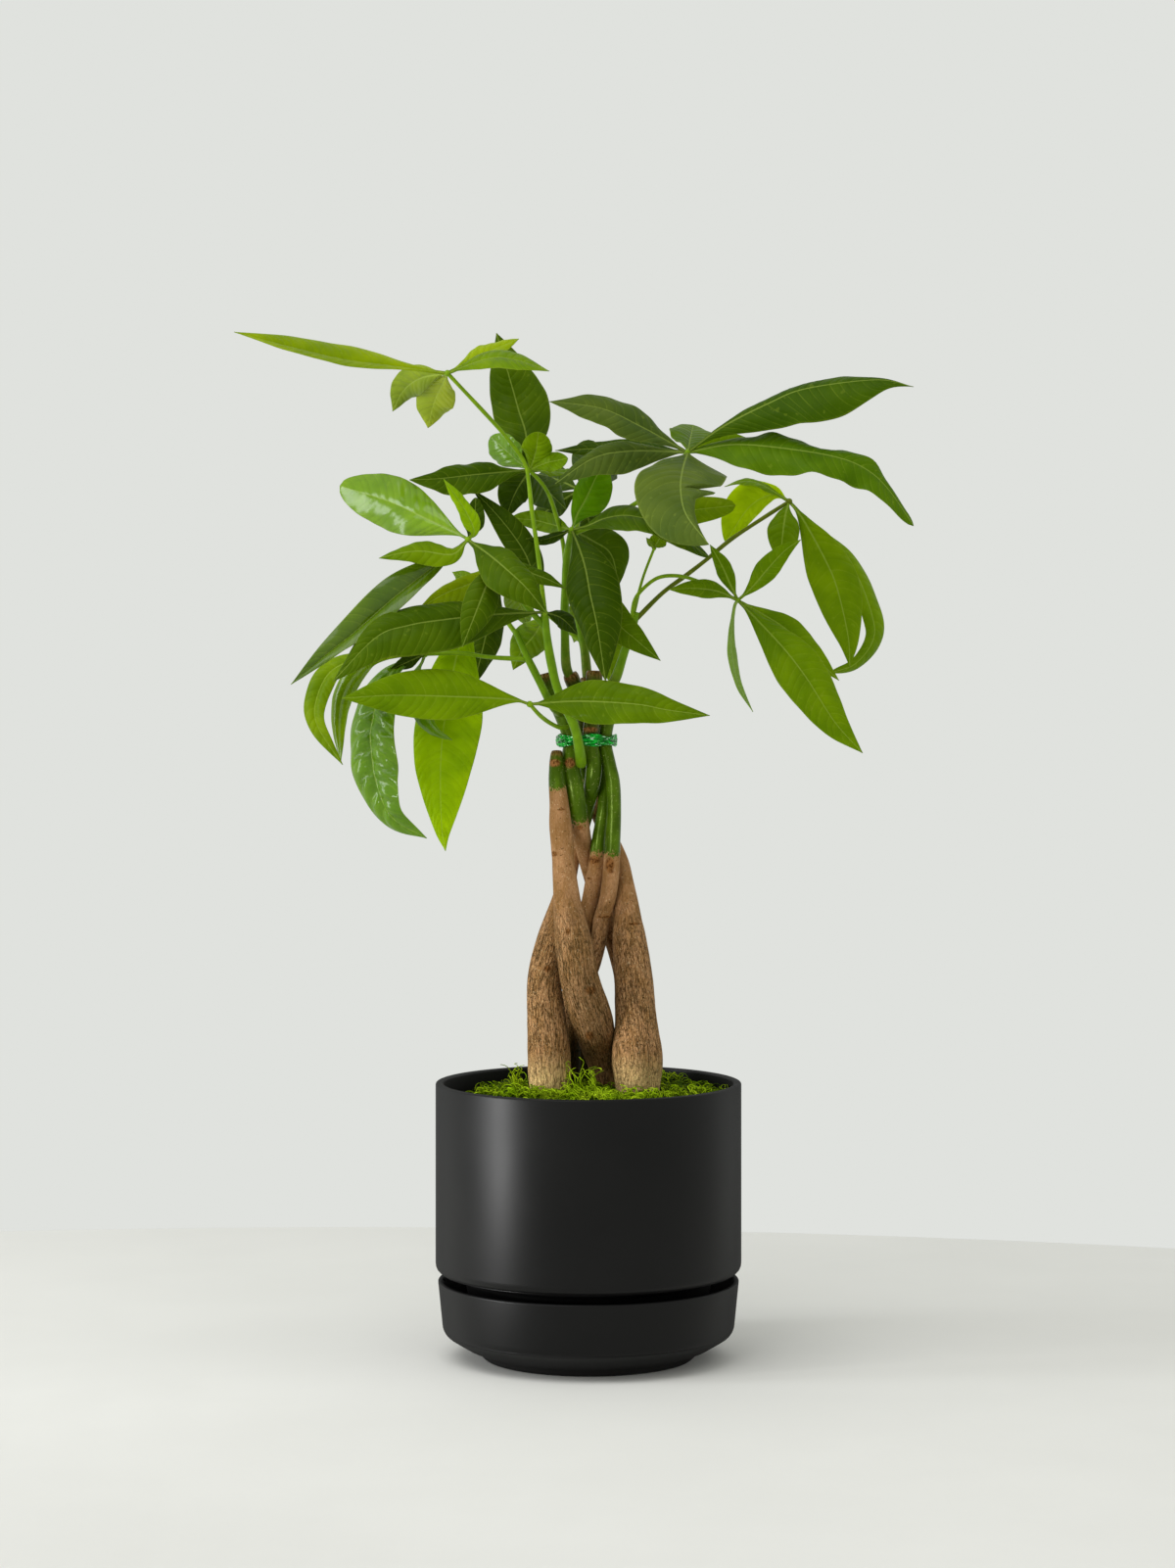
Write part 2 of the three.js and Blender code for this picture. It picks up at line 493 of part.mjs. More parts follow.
function mossGeometry() {
  const positions = [];
  const index = [];
  const ringPoint = (ring, side, z) => {
    const angle = (side / MOSS_SIDES) * Math.PI * 2;
    const reach = (MOSS_RADIUS + MOSS_SCALLOP * Math.sin(angle * 5 + 1)) * (ring / MOSS_RINGS);
    const x = MOSS_CENTRE_X + Math.cos(angle) * reach;
    const y = Math.sin(angle) * reach;
    positions.push(x, y, z ?? mossHeight(x, y) - MOSS_EDGE_DROP * (ring / MOSS_RINGS) ** 6);
  };
  for (let ring = 1; ring <= MOSS_RINGS; ring += 1) {
    for (let side = 0; side < MOSS_SIDES; side += 1) ringPoint(ring, side);
  }
  for (let side = 0; side < MOSS_SIDES; side += 1) ringPoint(MOSS_RINGS, side, SOIL_TOP + GAP);
  const top = positions.length / 3;
  positions.push(MOSS_CENTRE_X, 0, mossHeight(MOSS_CENTRE_X, 0));
  const under = top + 1;
  positions.push(MOSS_CENTRE_X, 0, SOIL_TOP + GAP);
  for (let side = 0; side < MOSS_SIDES; side += 1) {
    const next = (side + 1) % MOSS_SIDES;
    index.push(top, side, next);
    for (let ring = 0; ring < MOSS_RINGS; ring += 1) {
      const a = ring * MOSS_SIDES + side;
      const b = ring * MOSS_SIDES + next;
      index.push(a, a + MOSS_SIDES, b, b, a + MOSS_SIDES, b + MOSS_SIDES);
    }
    index.push(under, MOSS_RINGS * MOSS_SIDES + next, MOSS_RINGS * MOSS_SIDES + side);
  }
  return closedGeometry(positions, index);
}

// Stems, and the tie round them

function stemGeometry(route, extra = 0) {
  const centres = route.map(([across, down, behind]) => seen([across, down, behind]));
  const radii = route.map(([, , , half]) => half * VIEW_SCALE + extra);
  return stalkGeometry(centres, radii, STEM_SIDES, Math.round(route.length * STEM_STEPS_PER_POINT));
}

const TIE_CENTRE = [599, 755.5, 2.2];
const TIE_RADII = [15.2, 14.8];
const TIE_BAND = 1.2;
const TIE_HEIGHT = 7;
const TIE_SEGMENTS = 18;

function tieGeometry() {
  const oval = (grow) => {
    const shape = new THREE.Shape();
    shape.absellipse(0, 0, TIE_RADII[0] + grow, TIE_RADII[1] + grow, 0, Math.PI * 2, false, 0);
    return shape;
  };
  const shape = oval(TIE_BAND);
  shape.holes.push(oval(0));
  const settings = { depth: TIE_HEIGHT, bevelEnabled: false, curveSegments: TIE_SEGMENTS };
  const geometry = new THREE.ExtrudeGeometry(shape, settings);
  const centre = seen(TIE_CENTRE);
  return geometry.translate(centre.x, centre.y, centre.z - TIE_HEIGHT / 2);
}

// Leafy shoots

function stalkSolid(route, [first, last], sides) {
  const centres = route.map(seen);
  const radii = centres.map((_, i) => first + ((last - first) * i) / (centres.length - 1));
  return solidOf(stalkGeometry(centres, radii, sides, (centres.length - 1) * 2));
}

function hubSolid(hub) {
  const centre = seen(hub);
  return solidOf(new THREE.IcosahedronGeometry(HUB_RADIUS, 0).translate(centre.x, centre.y, centre.z));
}

function leafSolid({ stalk, hub, leaflets, radius = STALK_RADIUS }) {
  const blades = leaflets.map((leaflet) => solidOf(bladeGeometry(hub, leaflet)));
  return joined([stalkSolid([...stalk, hub], radius, PETIOLE_SIDES), hubSolid(hub), ...blades]);
}

function shootSolid({ stalks, leaves }) {
  const stalkSolids = stalks.map(({ route, radius }) => stalkSolid(route, radius, STALK_SIDES));
  return joined([...stalkSolids, ...leaves.map(leafSolid)]);
}

// The whole plant

const group = new THREE.Group();

function place(name, geometry, look) {
  const mesh = new THREE.Mesh(geometry, new THREE.MeshStandardMaterial(look));
  mesh.name = name;
  group.add(mesh);
}

const holes = joined(Object.values(STEMS).map((route) => solidOf(stemGeometry(route, GAP))));

place('saucer', saucerGeometry(), paint.pot);
place('pot', potGeometry(), paint.pot);
place('soil', geometryOf(solidOf(soilGeometry()).subtract(holes)), paint.soil);
place('moss', geometryOf(solidOf(mossGeometry()).subtract(holes)), paint.moss);
Object.entries(STEMS).forEach(([name, route]) => place(name, stemGeometry(route), paint.bark));
place('tie', tieGeometry(), paint.tie);
Object.entries(SHOOTS).forEach(([name, shoot]) => {
  place(name, geometryOf(shootSolid(shoot).subtract(holes)), paint.leaf);
});

export default group;
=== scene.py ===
# A money tree in a black pot and saucer: fine pieces over the frame's solids, with their materials.
import math

import bpy
import numpy as np
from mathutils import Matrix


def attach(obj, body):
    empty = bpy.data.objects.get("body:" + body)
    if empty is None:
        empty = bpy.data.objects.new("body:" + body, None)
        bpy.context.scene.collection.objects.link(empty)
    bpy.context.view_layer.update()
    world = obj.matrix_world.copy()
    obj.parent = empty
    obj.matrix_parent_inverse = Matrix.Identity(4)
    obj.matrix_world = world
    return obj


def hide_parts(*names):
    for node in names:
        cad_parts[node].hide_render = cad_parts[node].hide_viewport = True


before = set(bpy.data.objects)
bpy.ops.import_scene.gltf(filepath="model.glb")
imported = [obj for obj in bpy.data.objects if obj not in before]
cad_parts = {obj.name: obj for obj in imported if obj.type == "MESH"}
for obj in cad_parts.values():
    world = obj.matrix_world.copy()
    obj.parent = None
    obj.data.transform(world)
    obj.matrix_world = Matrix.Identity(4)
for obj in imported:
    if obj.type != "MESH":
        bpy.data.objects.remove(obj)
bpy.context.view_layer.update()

MM = 0.001

# The front view that places are read in: a frame 1200 wide and 1601 high, seen level.
POT_DIAMETER = 165
POT_VIEW_WIDTH = 312
FRAME_WIDTH = 1200
FRAME_HEIGHT = 1601
AXIS_ACROSS = 601
GROUND_DOWN = 1385
EYE_DOWN = 670
VIEW_LENGTH = 3700
VIEW_SCALE = POT_DIAMETER / POT_VIEW_WIDTH
EYE_DISTANCE = VIEW_LENGTH * VIEW_SCALE
EYE_HEIGHT = (GROUND_DOWN - EYE_DOWN) * VIEW_SCALE


def seen(places):
    """Millimetres in the row frame for places across, down and behind in the view."""
    places = np.asarray(places, float)
    scale = (EYE_DISTANCE + places[..., 2]) / VIEW_LENGTH
    x = (places[..., 0] - AXIS_ACROSS) * scale
    z = EYE_HEIGHT - (places[..., 1] - EYE_DOWN) * scale
    return np.stack([x, places[..., 2], z], -1)


# Stems: across, down, behind, half width in the view, from the cut top down into the soil.
STEMS = {
    "stem_front": [
        [568.5, 767, -9, 6], [568.5, 783, -11, 7.8], [569, 800, -12.5, 8.8], [571, 820, -13, 9.8],
        [572.3, 840, -13, 11.4], [574.5, 865, -13, 11.7], [575.3, 880, -13, 11.4], [579, 920, -15, 14],
        [585, 960, -19, 18.5], [592, 1000, -20, 19.5], [604, 1040, -12, 21.5], [612, 1070, 1, 18],
        [618, 1100, 7, 15], [619, 1150, 8, 15], [619, 1200, 8, 14],
    ],
    "stem_left": [
        [607, 685, -5, 8.5], [606, 720, -6, 8.5], [603, 756, -6, 8], [606.5, 780, -4, 8.3],
        [605, 800, -3, 8.2], [600.5, 820, 4, 7.8], [596, 840, 10, 7.5], [590, 860, 14.5, 7.5],
        [584.5, 880, 16, 7.5], [579, 900, 13, 9.5], [575, 920, 7, 12], [565, 960, 1, 17],
        [556, 1000, -7, 17.5], [558, 1040, -11, 19.8], [560, 1070, -13, 21.6], [561, 1100, -15, 21.5],
        [563, 1130, -15, 19], [566, 1200, -15, 16],
    ],
    "stem_right": [
        [600, 692, 19, 8], [600, 720, 18, 8], [595.5, 741, 14.2, 7.4], [594.5, 756, 9.7, 7.4],
        [597, 785, 11, 8], [604, 810, 13, 8], [613, 835, 14, 8], [625, 860, 13, 8], [634, 880, 10, 8],
        [637.5, 900, 7, 9.5], [639, 920, 4, 12.6], [641, 940, 2, 14.8], [643, 960, 0, 17.5],
        [647, 1000, -3, 19.5], [649.5, 1040, -8, 21], [651, 1080, -13, 26], [651, 1118, -15, 22],
        [651, 1200, -15, 19],
    ],
    "stem_green": [
        [621, 702, 5, 7.5], [621, 730, 3, 7.5], [617.5, 756, -1, 7.3], [622.5, 780, -4, 6.5],
        [626, 800, -5, 7.3], [626.8, 830, -6, 7.5], [625.7, 860, -6, 7.9], [624.6, 880, -5, 8.5],
        [623.3, 900, -3.5, 8.4], [620, 920, -1.5, 8.2], [614, 940, 2, 8.2], [611, 960, 4, 8.5],
        [602, 985, 6, 11], [589, 1010, 10, 13], [580, 1040, 14, 15], [577, 1070, 17, 16],
        [577, 1120, 18, 16], [577, 1200, 18, 16],
    ],
    "stem_rear": [
        [582, 688, 3, 8], [588, 702, 4, 8], [601, 725, 4.2, 7.8], [611, 756, 7.2, 7.6], [616, 780, 7, 7.5],
        [617.5, 800, 5.5, 7.2], [617, 820, 1.5, 6.6], [614, 840, 1, 6.5], [611.2, 860, 1, 7.2],
        [609.8, 880, 2, 8.4], [606.3, 900, 3, 8.6], [602, 920, 4, 8.2], [598, 945, 9, 10.3],
        [588, 980, 18, 10], [588, 1010, 27, 11.5], [592, 1050, 33, 13], [600, 1100, 38, 15],
        [603, 1200, 40, 15],
    ],
    "stem_middle": [
        [558, 687, -2, 8], [563, 705, -2, 8], [574, 730, -3, 8], [583, 756, -3, 8.2], [582.3, 780, -5, 9.6],
        [585.3, 800, -7, 10], [589.3, 825, -7, 9.9], [592.5, 845, -3, 9.8], [596, 862, 5, 9],
        [600.5, 880, 10.8, 9], [607, 901, 13.5, 9.3], [614.5, 922, 15.5, 10], [621.5, 942, 17, 10.5],
        [628.5, 962, 18, 10.5], [634, 980, 19, 11], [639, 1000, 20, 12], [644, 1040, 20, 14],
        [646, 1100, 20, 15], [646, 1200, 20, 15],
    ],
}


def leaf(stalk, hub, *leaflets, **more):
    """A leaf's stalk, hub and leaflets, and its stalk's radius or tone where they aren't the usual."""
    return {"stalk": stalk, "hub": hub, "leaflets": leaflets, **more}


def leaflet(tone, rib, left, right, **more):
    """A leaflet's tone, rib and two hands, and what more sets it apart, such as a peak or a tear."""
    return {"tone": tone, "rib": rib, "left": left, "right": right, **more}


# The leafy shoots' leaves. A leaf has a stalk that ends at its hub, and leaflets round the hub. A
# leaflet has its rib from hub to tip, and for the hand on its left and right, looking to the tip, how
# wide it looks in the view and how far its edge lies behind the rib, with a peak and a bluntness of
# its own where that hand differs from the other.
FRONT_LEAVES = [
    leaf([[557, 632, -29], [550, 570, -26], [543, 520, -22], [540, 492, -18], [536, 473, -18],
         [520, 450, -20], [500, 427, -23]], [457, 381, -30],
        leaflet("bright", [[397, 374, -38], [347, 367, -46], [305, 357, -54], [239, 339, -66]], [5, -13],
            [15, 11], wave=0.3),
        leaflet("fresh", [[430, 386, -10], [412, 399, 10], [401, 420, 24]], [15, 4], [17, 4]),
        leaflet("fresher", [[450, 396, -8], [443, 412, 10], [437, 437, 26]], [20, 6], [21, 6]),
        leaflet("leafy", [[500, 366, -44], [528, 368, -56], [561, 379, -68]], [8, 12], [11, -10], wave=0.3),
        leaflet("bright", [[478, 370, -22], [500, 359, -12], [530, 346, 0]], [9, 8], [11, -6])),
    leaf([[553, 636, -29], [528, 606, -36], [500, 576, -40]], [478, 551, -44],
        leaflet("lit_gloss", [[468, 545, -43], [430, 527, -34], [397, 512, -20], [347, 496, 0]], [28, 4],
            [27, 6], peak=0.55, blunt=0.5, crinkle=0.15),
        leaflet("lime", [[484, 542, -44], [473, 518, -42], [453, 489, -40]], [8, -5], [9, 5], peak=0.3),
        leaflet("dark", [[484, 532, -28], [486, 508, -24]], [10, 0], [11, 0], blunt=0.6),
        leaflet("deep", [[500, 567, -60], [519, 583, -70], [538, 601, -76], [558, 626, -78]], [17, 4],
            [26, -2], peak=0.45),
        leaflet("mid", [[462, 566, -52], [433, 563, -54], [414, 564, -56], [387, 570, -58]], [14, -3],
            [10, 6], peak=0.42),
        leaflet("edge_gloss", [[440, 581, -46], [405, 608, -50], [365, 643, -54], [330, 671, -58],
            [297, 699, -62]], [13, -6], [21, 0], peak=0.42)),
    leaf([[556, 632, -30]], [556, 625, -32],
        leaflet("dark", [[546, 592, -20], [535, 563, -14], [512, 531, -10], [483, 500, -6]], [15, -2],
            [16, 2], peak=0.45),
        leaflet("deep", [[500, 628, -50], [452, 633, -56], [416, 639, -60], [384, 651, -62],
            [340, 696, -62]], [33, -6], [19, 6]),
        leaflet("dark", [[574, 632, -26], [590, 648, -22]], [9, 4], [9, -4]),
        leaflet("mid", [[548, 645, -12], [533, 664, 0], [524, 684, 6]], [18, 4], [18, 4])),
    leaf([[520, 584, -44]], [512, 568, -50],
        leaflet("deep", [[498, 595, -60], [488, 620, -66], [472, 661, -70]], [18, 2], [17, 2]),
        leaflet("deep", [[540, 584, -44], [560, 592, -42], [578, 601, -40]], [7, 3], [8, -3]),
        leaflet("bright", [[488, 592, -40], [455, 606, -42], [427, 622, -44]], [14, -3], [10, 3])),
]
LEFT_LEAVES = [
    leaf([[537, 673, -14], [500, 671, -14], [471, 667, -13]], [434, 668, -12],
        leaflet("amber", [[375, 672, -4], [340, 684, 6], [324, 712, 10], [324, 740, 10], [350, 781, 6]],
            [11, -4], [12, 4], peak=0.6),
        leaflet("gold_gloss", [[385, 672, 4], [362, 690, 14], [350, 712, 16], [346, 740, 16],
            [348, 778, 12]], [10, -4], [10, 4], peak=0.6),
        leaflet("gloss", [[396, 690, -26], [380, 739, -34], [380, 770, -38], [386, 804, -42],
            [401, 835, -44], [436, 856, -44]], [25, -9], [22, 10], crinkle=1.6),
        leaflet("gloss", [[425, 700, -20], [440, 740, -26], [462, 756, -28]], [7, -4], [12, 5]),
        leaflet("dark", [[420, 674, -20], [398, 684, -24]], [7, 2], [7, -2])),
    leaf([[527, 647, -12], [508, 622, -8]], [492, 612, -6],
        leaflet("gold", [[480, 636, -8], [467, 668, -10], [455, 730, -14], [450, 780, -18], [451, 843, -22],
            [455, 869, -24]], [38, 4], [30, 4]),
        leaflet("mid", [[476, 592, 8], [462, 584, 20]], [9, 4], [9, -4]),
        leaflet("mid", [[500, 590, 10], [506, 572, 26]], [10, 3], [10, 3])),
]
MIDDLE_LEAVES = [
    leaf([[578, 590, 2], [575, 555, 2], [565, 517, 0], [556, 497, -2]], [541, 480, -2],
        leaflet("deep", [[537, 443, 8], [530, 420, 14], [523, 395, 20], [507, 340, 26]], [27, 4], [32, 6],
            peak=0.42),
        leaflet("gloss", [[526, 468, 3], [513, 456, 8], [501, 446, 13]], [16, 7], [15, -7], peak=0.6,
            blunt=0.5, crinkle=0.4),
        leaflet("mid", [[547, 462, -10], [550, 441, -18]], [15, 2], [16, -2], peak=0.6, blunt=0.5),
        leaflet("mid", [[558, 473, -12], [580, 468, -20]], [10, 4], [10, -4], peak=0.6, blunt=0.6),
        leaflet("deep", [[518, 482, -6], [484, 485, -12], [448, 489, -18], [418, 490, -22]], [20, -8],
            [13, 6]),
        leaflet("dark", [[532, 493, 6], [524, 508, 12], [516.5, 529, 18]], [14, 2], [19, -2], peak=0.45),
        leaflet("deep", [[552, 494, 14], [566, 508, 30], [578, 520, 40]], [14, 4], [20, -2]),
        leaflet("mid", [[566, 482, 4], [600, 484, 14]], [4, 8], [4, -8])),
    leaf([[582, 552, -9]], [584, 541, -14],
        leaflet("dark", [[592, 561, -30], [598, 581, -38], [603, 608, -46], [610, 640, -52],
            [618.5, 696, -54]], [32, 2], [23, 4], peak=0.42),
        leaflet("mid_low", [[610, 600, -22], [630, 635, -30], [648, 652, -32], [674.6, 674.6, -34]], [16, 2],
            [17, -2], peak=0.6),
        leaflet("deep", [[605, 552, 0], [624, 566, 6], [632, 598, 10]], [20, 4], [14, 2]),
        leaflet("deep", [[600, 537, -22], [620, 529, -30], [645, 527, -38], [680, 538, -44],
            [724, 569, -48]], [10, 8], [15, -8], peak=0.4, blunt=0.6),
        leaflet("fern", [[590, 524, -6], [598, 510, -2], [611, 483, 4], [622, 466, 6]], [15, 2], [23, 2]),
        leaflet("dark", [[570, 546, -16], [552, 551, -18], [537, 550, -20]], [7, 2], [4, -4]),
        leaflet("mid", [[566, 536, 10], [546, 531, 20], [523, 529, 26]], [10, 3], [11, -3], blunt=0.5),
        leaflet("olive", [[640, 532, 2], [700, 522, 10], [751, 516, 14]], [14, 3], [15, -3], peak=0.7,
            blunt=0.45)),
    leaf([[586, 545, -12], [620, 530, -16], [655, 510, -24], [682, 484, -38]], [702, 462, -44],
        leaflet("grey", [[653, 435, -56], [613, 417, -62], [561, 410, -66]], [18, -8], [15, 8]),
        leaflet("deep_soft", [[738, 436, -52], [785, 412, -58], [823, 397, -62], [895, 388, -68],
            [933, 395, -72]], [5, 10], [36, -8], peak=0.6, blunt=1.5),
        leaflet("mid_soft", [[749, 454, -52], [808, 459, -62], [858, 468, -68], [887, 481, -70],
            [908, 501, -72], [933, 537, -72]], [10, 8], [26, -8], peak=0.25, blunt=0.6, wave=3),
        leaflet("grey", [[697, 480, -68], [695, 500, -84], [701, 526, -100], [724, 556, -112]],
            [46, 4, 0.18, 1.5], [47, 4], peak=0.42, blunt=0.8, tear=0.44),
        leaflet("grey", [[681, 461, -38], [641, 461, -38], [606, 468, -36], [567, 494, -34]], [22, -4],
            [10, 4]),
        leaflet("dark", [[665, 458, -24], [620, 458, -14], [567, 460, -8]], [10, -3], [9, 3]),
        leaflet("mid_low", [[705, 448, -20], [708, 434, 10]], [23, 0], [26, 0], peak=0.6, blunt=0.6),
        leaflet("mid", [[735, 451, -34], [770, 450, -26]], [9, 2], [8, -2])),
]
RIGHT_LEAVES = [
    leaf([[648, 634, 0], [676, 606, 2], [700, 588, 4], [722, 571, 6], [745, 552, 8], [770, 535, 8]],
         [806, 512, 10],
        leaflet("mid", [[820, 530, 6], [843, 572, 0], [855, 601, -4], [866, 649, -8], [868, 681, -10]],
            [24, 2], [25, 2]),
        leaflet("mid", [[838, 545, 18], [872, 582, 24], [891, 630, 24], [891, 655, 20], [873, 678, 14],
            [849, 686.5, 10]], [10, 6], [10, -2], blunt=0.5),
        leaflet("mid", [[802, 526, 4], [799, 549, -2], [797, 575, -4]], [17, 2], [16, 2]),
        leaflet("lemon", [[789, 505, 16], [765, 518, 26], [741, 554, 34]], [12, 0], [24, 0], blunt=0.7),
        leaflet("mid", [[775, 494, 14], [756, 492, 18], [740, 497, 20]], [4, -5], [3, 5]),
        stalk_tone="woody"),
    leaf([[645, 634, -1], [648, 614, -2], [656, 602, -4], [672, 590, -6], [692, 588, -8], [712, 593, -12],
         [736, 604, -14]], [753.5, 613, -16],
        leaflet("mid", [[746, 597, -14], [737, 577, -10], [725, 556, -6]], [8, 2], [9, 2]),
        leaflet("mid", [[768, 600, -22], [785, 580, -28], [802, 562, -32], [818, 551, -34]], [12, 2],
            [11, -2]),
        leaflet("mid", [[733, 604, -22], [710, 601, -26], [683, 602, -30]], [9, -2], [10, 2]),
        leaflet("pale", [[750, 620, -20], [747, 645, -24], [748, 670, -26], [755, 700, -28],
            [769, 727, -30]], [4.5, 6], [4.5, -6], wave=0.3),
        leaflet("mid", [[776, 636, -30], [802, 664, -38], [824, 693, -44], [853, 738, -50], [881, 769, -54]],
            [23, 3], [26, -3]),
        leaflet("mid", [[782, 629, -12], [806, 645, -10], [829, 668, -8], [857, 695, -8]], [14, 3],
            [12, -3]),
        radius=[1.1, 0.9]),
    leaf([[647, 628, 0], [656, 592, 0]], [668, 560, 0],
        leaflet("mid", [[672, 553, -4], [676, 545, -6]], [9, 1], [9, -1], blunt=0.5),
        leaflet("mid", [[663, 553, -6], [660, 549, -9]], [3, 1], [3, -1]),
        radius=[0.9, 0.7]),
]
LOW_LEAVES = [
    leaf([[582, 742, -3], [573, 743, -15], [563, 739, -27], [552, 731, -38]], [541, 719, -46],
        leaflet("mid", [[520, 714, -52], [455, 711, -60], [400, 710, -66], [349, 713, -70]], [25, -3],
            [28, 3], peak=0.5),
        leaflet("mid_low", [[591, 716, -52], [649, 719, -60], [682, 725, -64], [725, 730.6, -68]], [22, 3],
            [23, -3], peak=0.38)),
]
BACK_LEAVES = [
    leaf([[588, 545, 46], [592, 520, 54]], [592, 500, 62],
        leaflet("dark", [[612, 486, 76], [628, 478, 98], [632, 484, 118]], [12, 4], [12, 6]),
        leaflet("dark", [[596, 476, 84], [602, 462, 108], [606, 470, 140]], [15, 4], [15, 4]),
        leaflet("dark", [[570, 490, 82], [550, 484, 112]], [14, 4], [14, 4]),
        leaflet("dark", [[600, 525, 76], [606, 566, 96]], [15, 4], [15, 4]),
        leaflet("dark", [[566, 516, 70], [542, 534, 92]], [13, 4], [13, 4])),
    leaf([[590, 590, 38], [604, 594, 48]], [614, 600, 60],
        leaflet("mid", [[620, 640, 72], [624, 700, 84]], [16, 4], [16, 4]),
        leaflet("dark", [[620, 604, 82], [624, 618, 118]], [10, 4], [11, 4]),
        leaflet("dark", [[604, 586, 84], [598, 588, 130]], [16, 4], [16, 4]),
        leaflet("mid", [[598, 622, 80], [586, 656, 110]], [16, 4], [16, 4])),
    leaf([[594, 655, 25], [560, 628, 34], [536, 606, 44]], [512, 594, 54],
        leaflet("mid", [[490, 606, 64], [452, 640, 84]], [15, 4], [15, 4]),
        leaflet("dark", [[500, 634, 66], [484, 700, 80]], [17, 4], [17, 4]),
        leaflet("dark", [[506, 580, 80], [494, 584, 122]], [15, 4], [15, 4]),
        leaflet("mid", [[526, 606, 78], [540, 640, 112]], [15, 4], [15, 4])),
]

# The shoots, each with its leaves and its main stalks: a stalk's route, and the radius at each end.
SHOOTS = {
    "shoot_front": (FRONT_LEAVES, [
        ([[593.5, 780, -9.5], [592, 767, -20], [586, 740, -24], [570, 705, -26], [563, 677, -28],
         [559, 653, -30], [556, 625, -30]], [2.9, 2.1]),
        ([[556, 640, -29], [528, 606, -36], [514, 572, -48]], [1.6, 1.3]),
    ]),
    "shoot_left": (LEFT_LEAVES, [
        ([[574, 729, -4], [567, 724, -12], [560, 714, -15], [548, 690, -15], [537, 668, -14],
         [526, 643, -12]], [2.4, 1.7]),
    ]),
    "shoot_middle": (MIDDLE_LEAVES, [
        ([[582, 692, 2], [578, 678, 1], [577, 648, 2], [577, 610, 3], [579, 570, -2], [584, 541, -14]],
         [2.6, 1.9]),
    ]),
    "shoot_right": (RIGHT_LEAVES, [
        ([[621, 704, 5], [629, 692, 4], [637, 668, 2], [646, 640, 0], [650, 625, 0]], [2.8, 2]),
    ]),
    "shoot_low": (LOW_LEAVES, []),
    "shoot_back": (BACK_LEAVES, [
        ([[600, 694, 19], [597, 664, 22], [592, 640, 28], [590, 600, 36], [588, 540, 46]], [2.6, 1.8]),
    ]),
}


# Curves

def catmull(points, t):
    """Points of a uniform Catmull-Rom curve at an array of t from 0 to 1."""
    points = np.asarray(points, float)
    padded = np.vstack([2 * points[0] - points[1], points, 2 * points[-1] - points[-2]])
    spans = len(points) - 1
    place = np.clip(np.asarray(t, float), 0, 1) * spans
    i = np.minimum(place.astype(int), spans - 1)
    f = (place - i)[:, None]
    p0, p1, p2, p3 = padded[i], padded[i + 1], padded[i + 2], padded[i + 3]
    v0, v1 = (p2 - p0) / 2, (p3 - p1) / 2
    cubic = (2 * p1 - 2 * p2 + v0 + v1) * f**3
    return cubic + (3 * p2 - 3 * p1 - 2 * v0 - v1) * f**2 + v0 * f + p1


CURVE_SAMPLES = 400


def lengths_along(points):
    """The length from the start of a curve to each of its evenly spaced parameters."""
    even = catmull(points, np.linspace(0, 1, CURVE_SAMPLES))
    return np.concatenate([[0], np.cumsum(np.linalg.norm(np.diff(even, axis=0), axis=1))])


def evened(points, t):
    """Curve parameters that lie at the shares t of the curve's length."""
    lengths = lengths_along(points)
    return np.interp(np.asarray(t) * lengths[-1], lengths, np.linspace(0, 1, CURVE_SAMPLES))


def unit(vectors):
    """Vectors with the same ways and a length of 1."""
    return vectors / np.maximum(np.linalg.norm(vectors, axis=-1, keepdims=True), 1e-9)


def smooth(value, low, high):
    """0 below low and 1 above high, with a soft rise between."""
    share = np.clip((value - low) / (high - low), 0, 1)
    return share * share * (3 - 2 * share)


NOISE_OCTAVES = 5


def bump_noise(place, seed):
    """A smooth seeded wave field from -1 to 1 over points in millimetres."""
    draw = np.random.default_rng(seed)
    total = np.zeros(place.shape[:-1])
    for octave in range(NOISE_OCTAVES):
        way = draw.normal(size=(3, 3)) * 1.7**octave
        total += (np.sin(place @ way + draw.uniform(0, 6, 3)).sum(-1) / 3) / 1.5**octave
    return total / 2.2


# Meshes

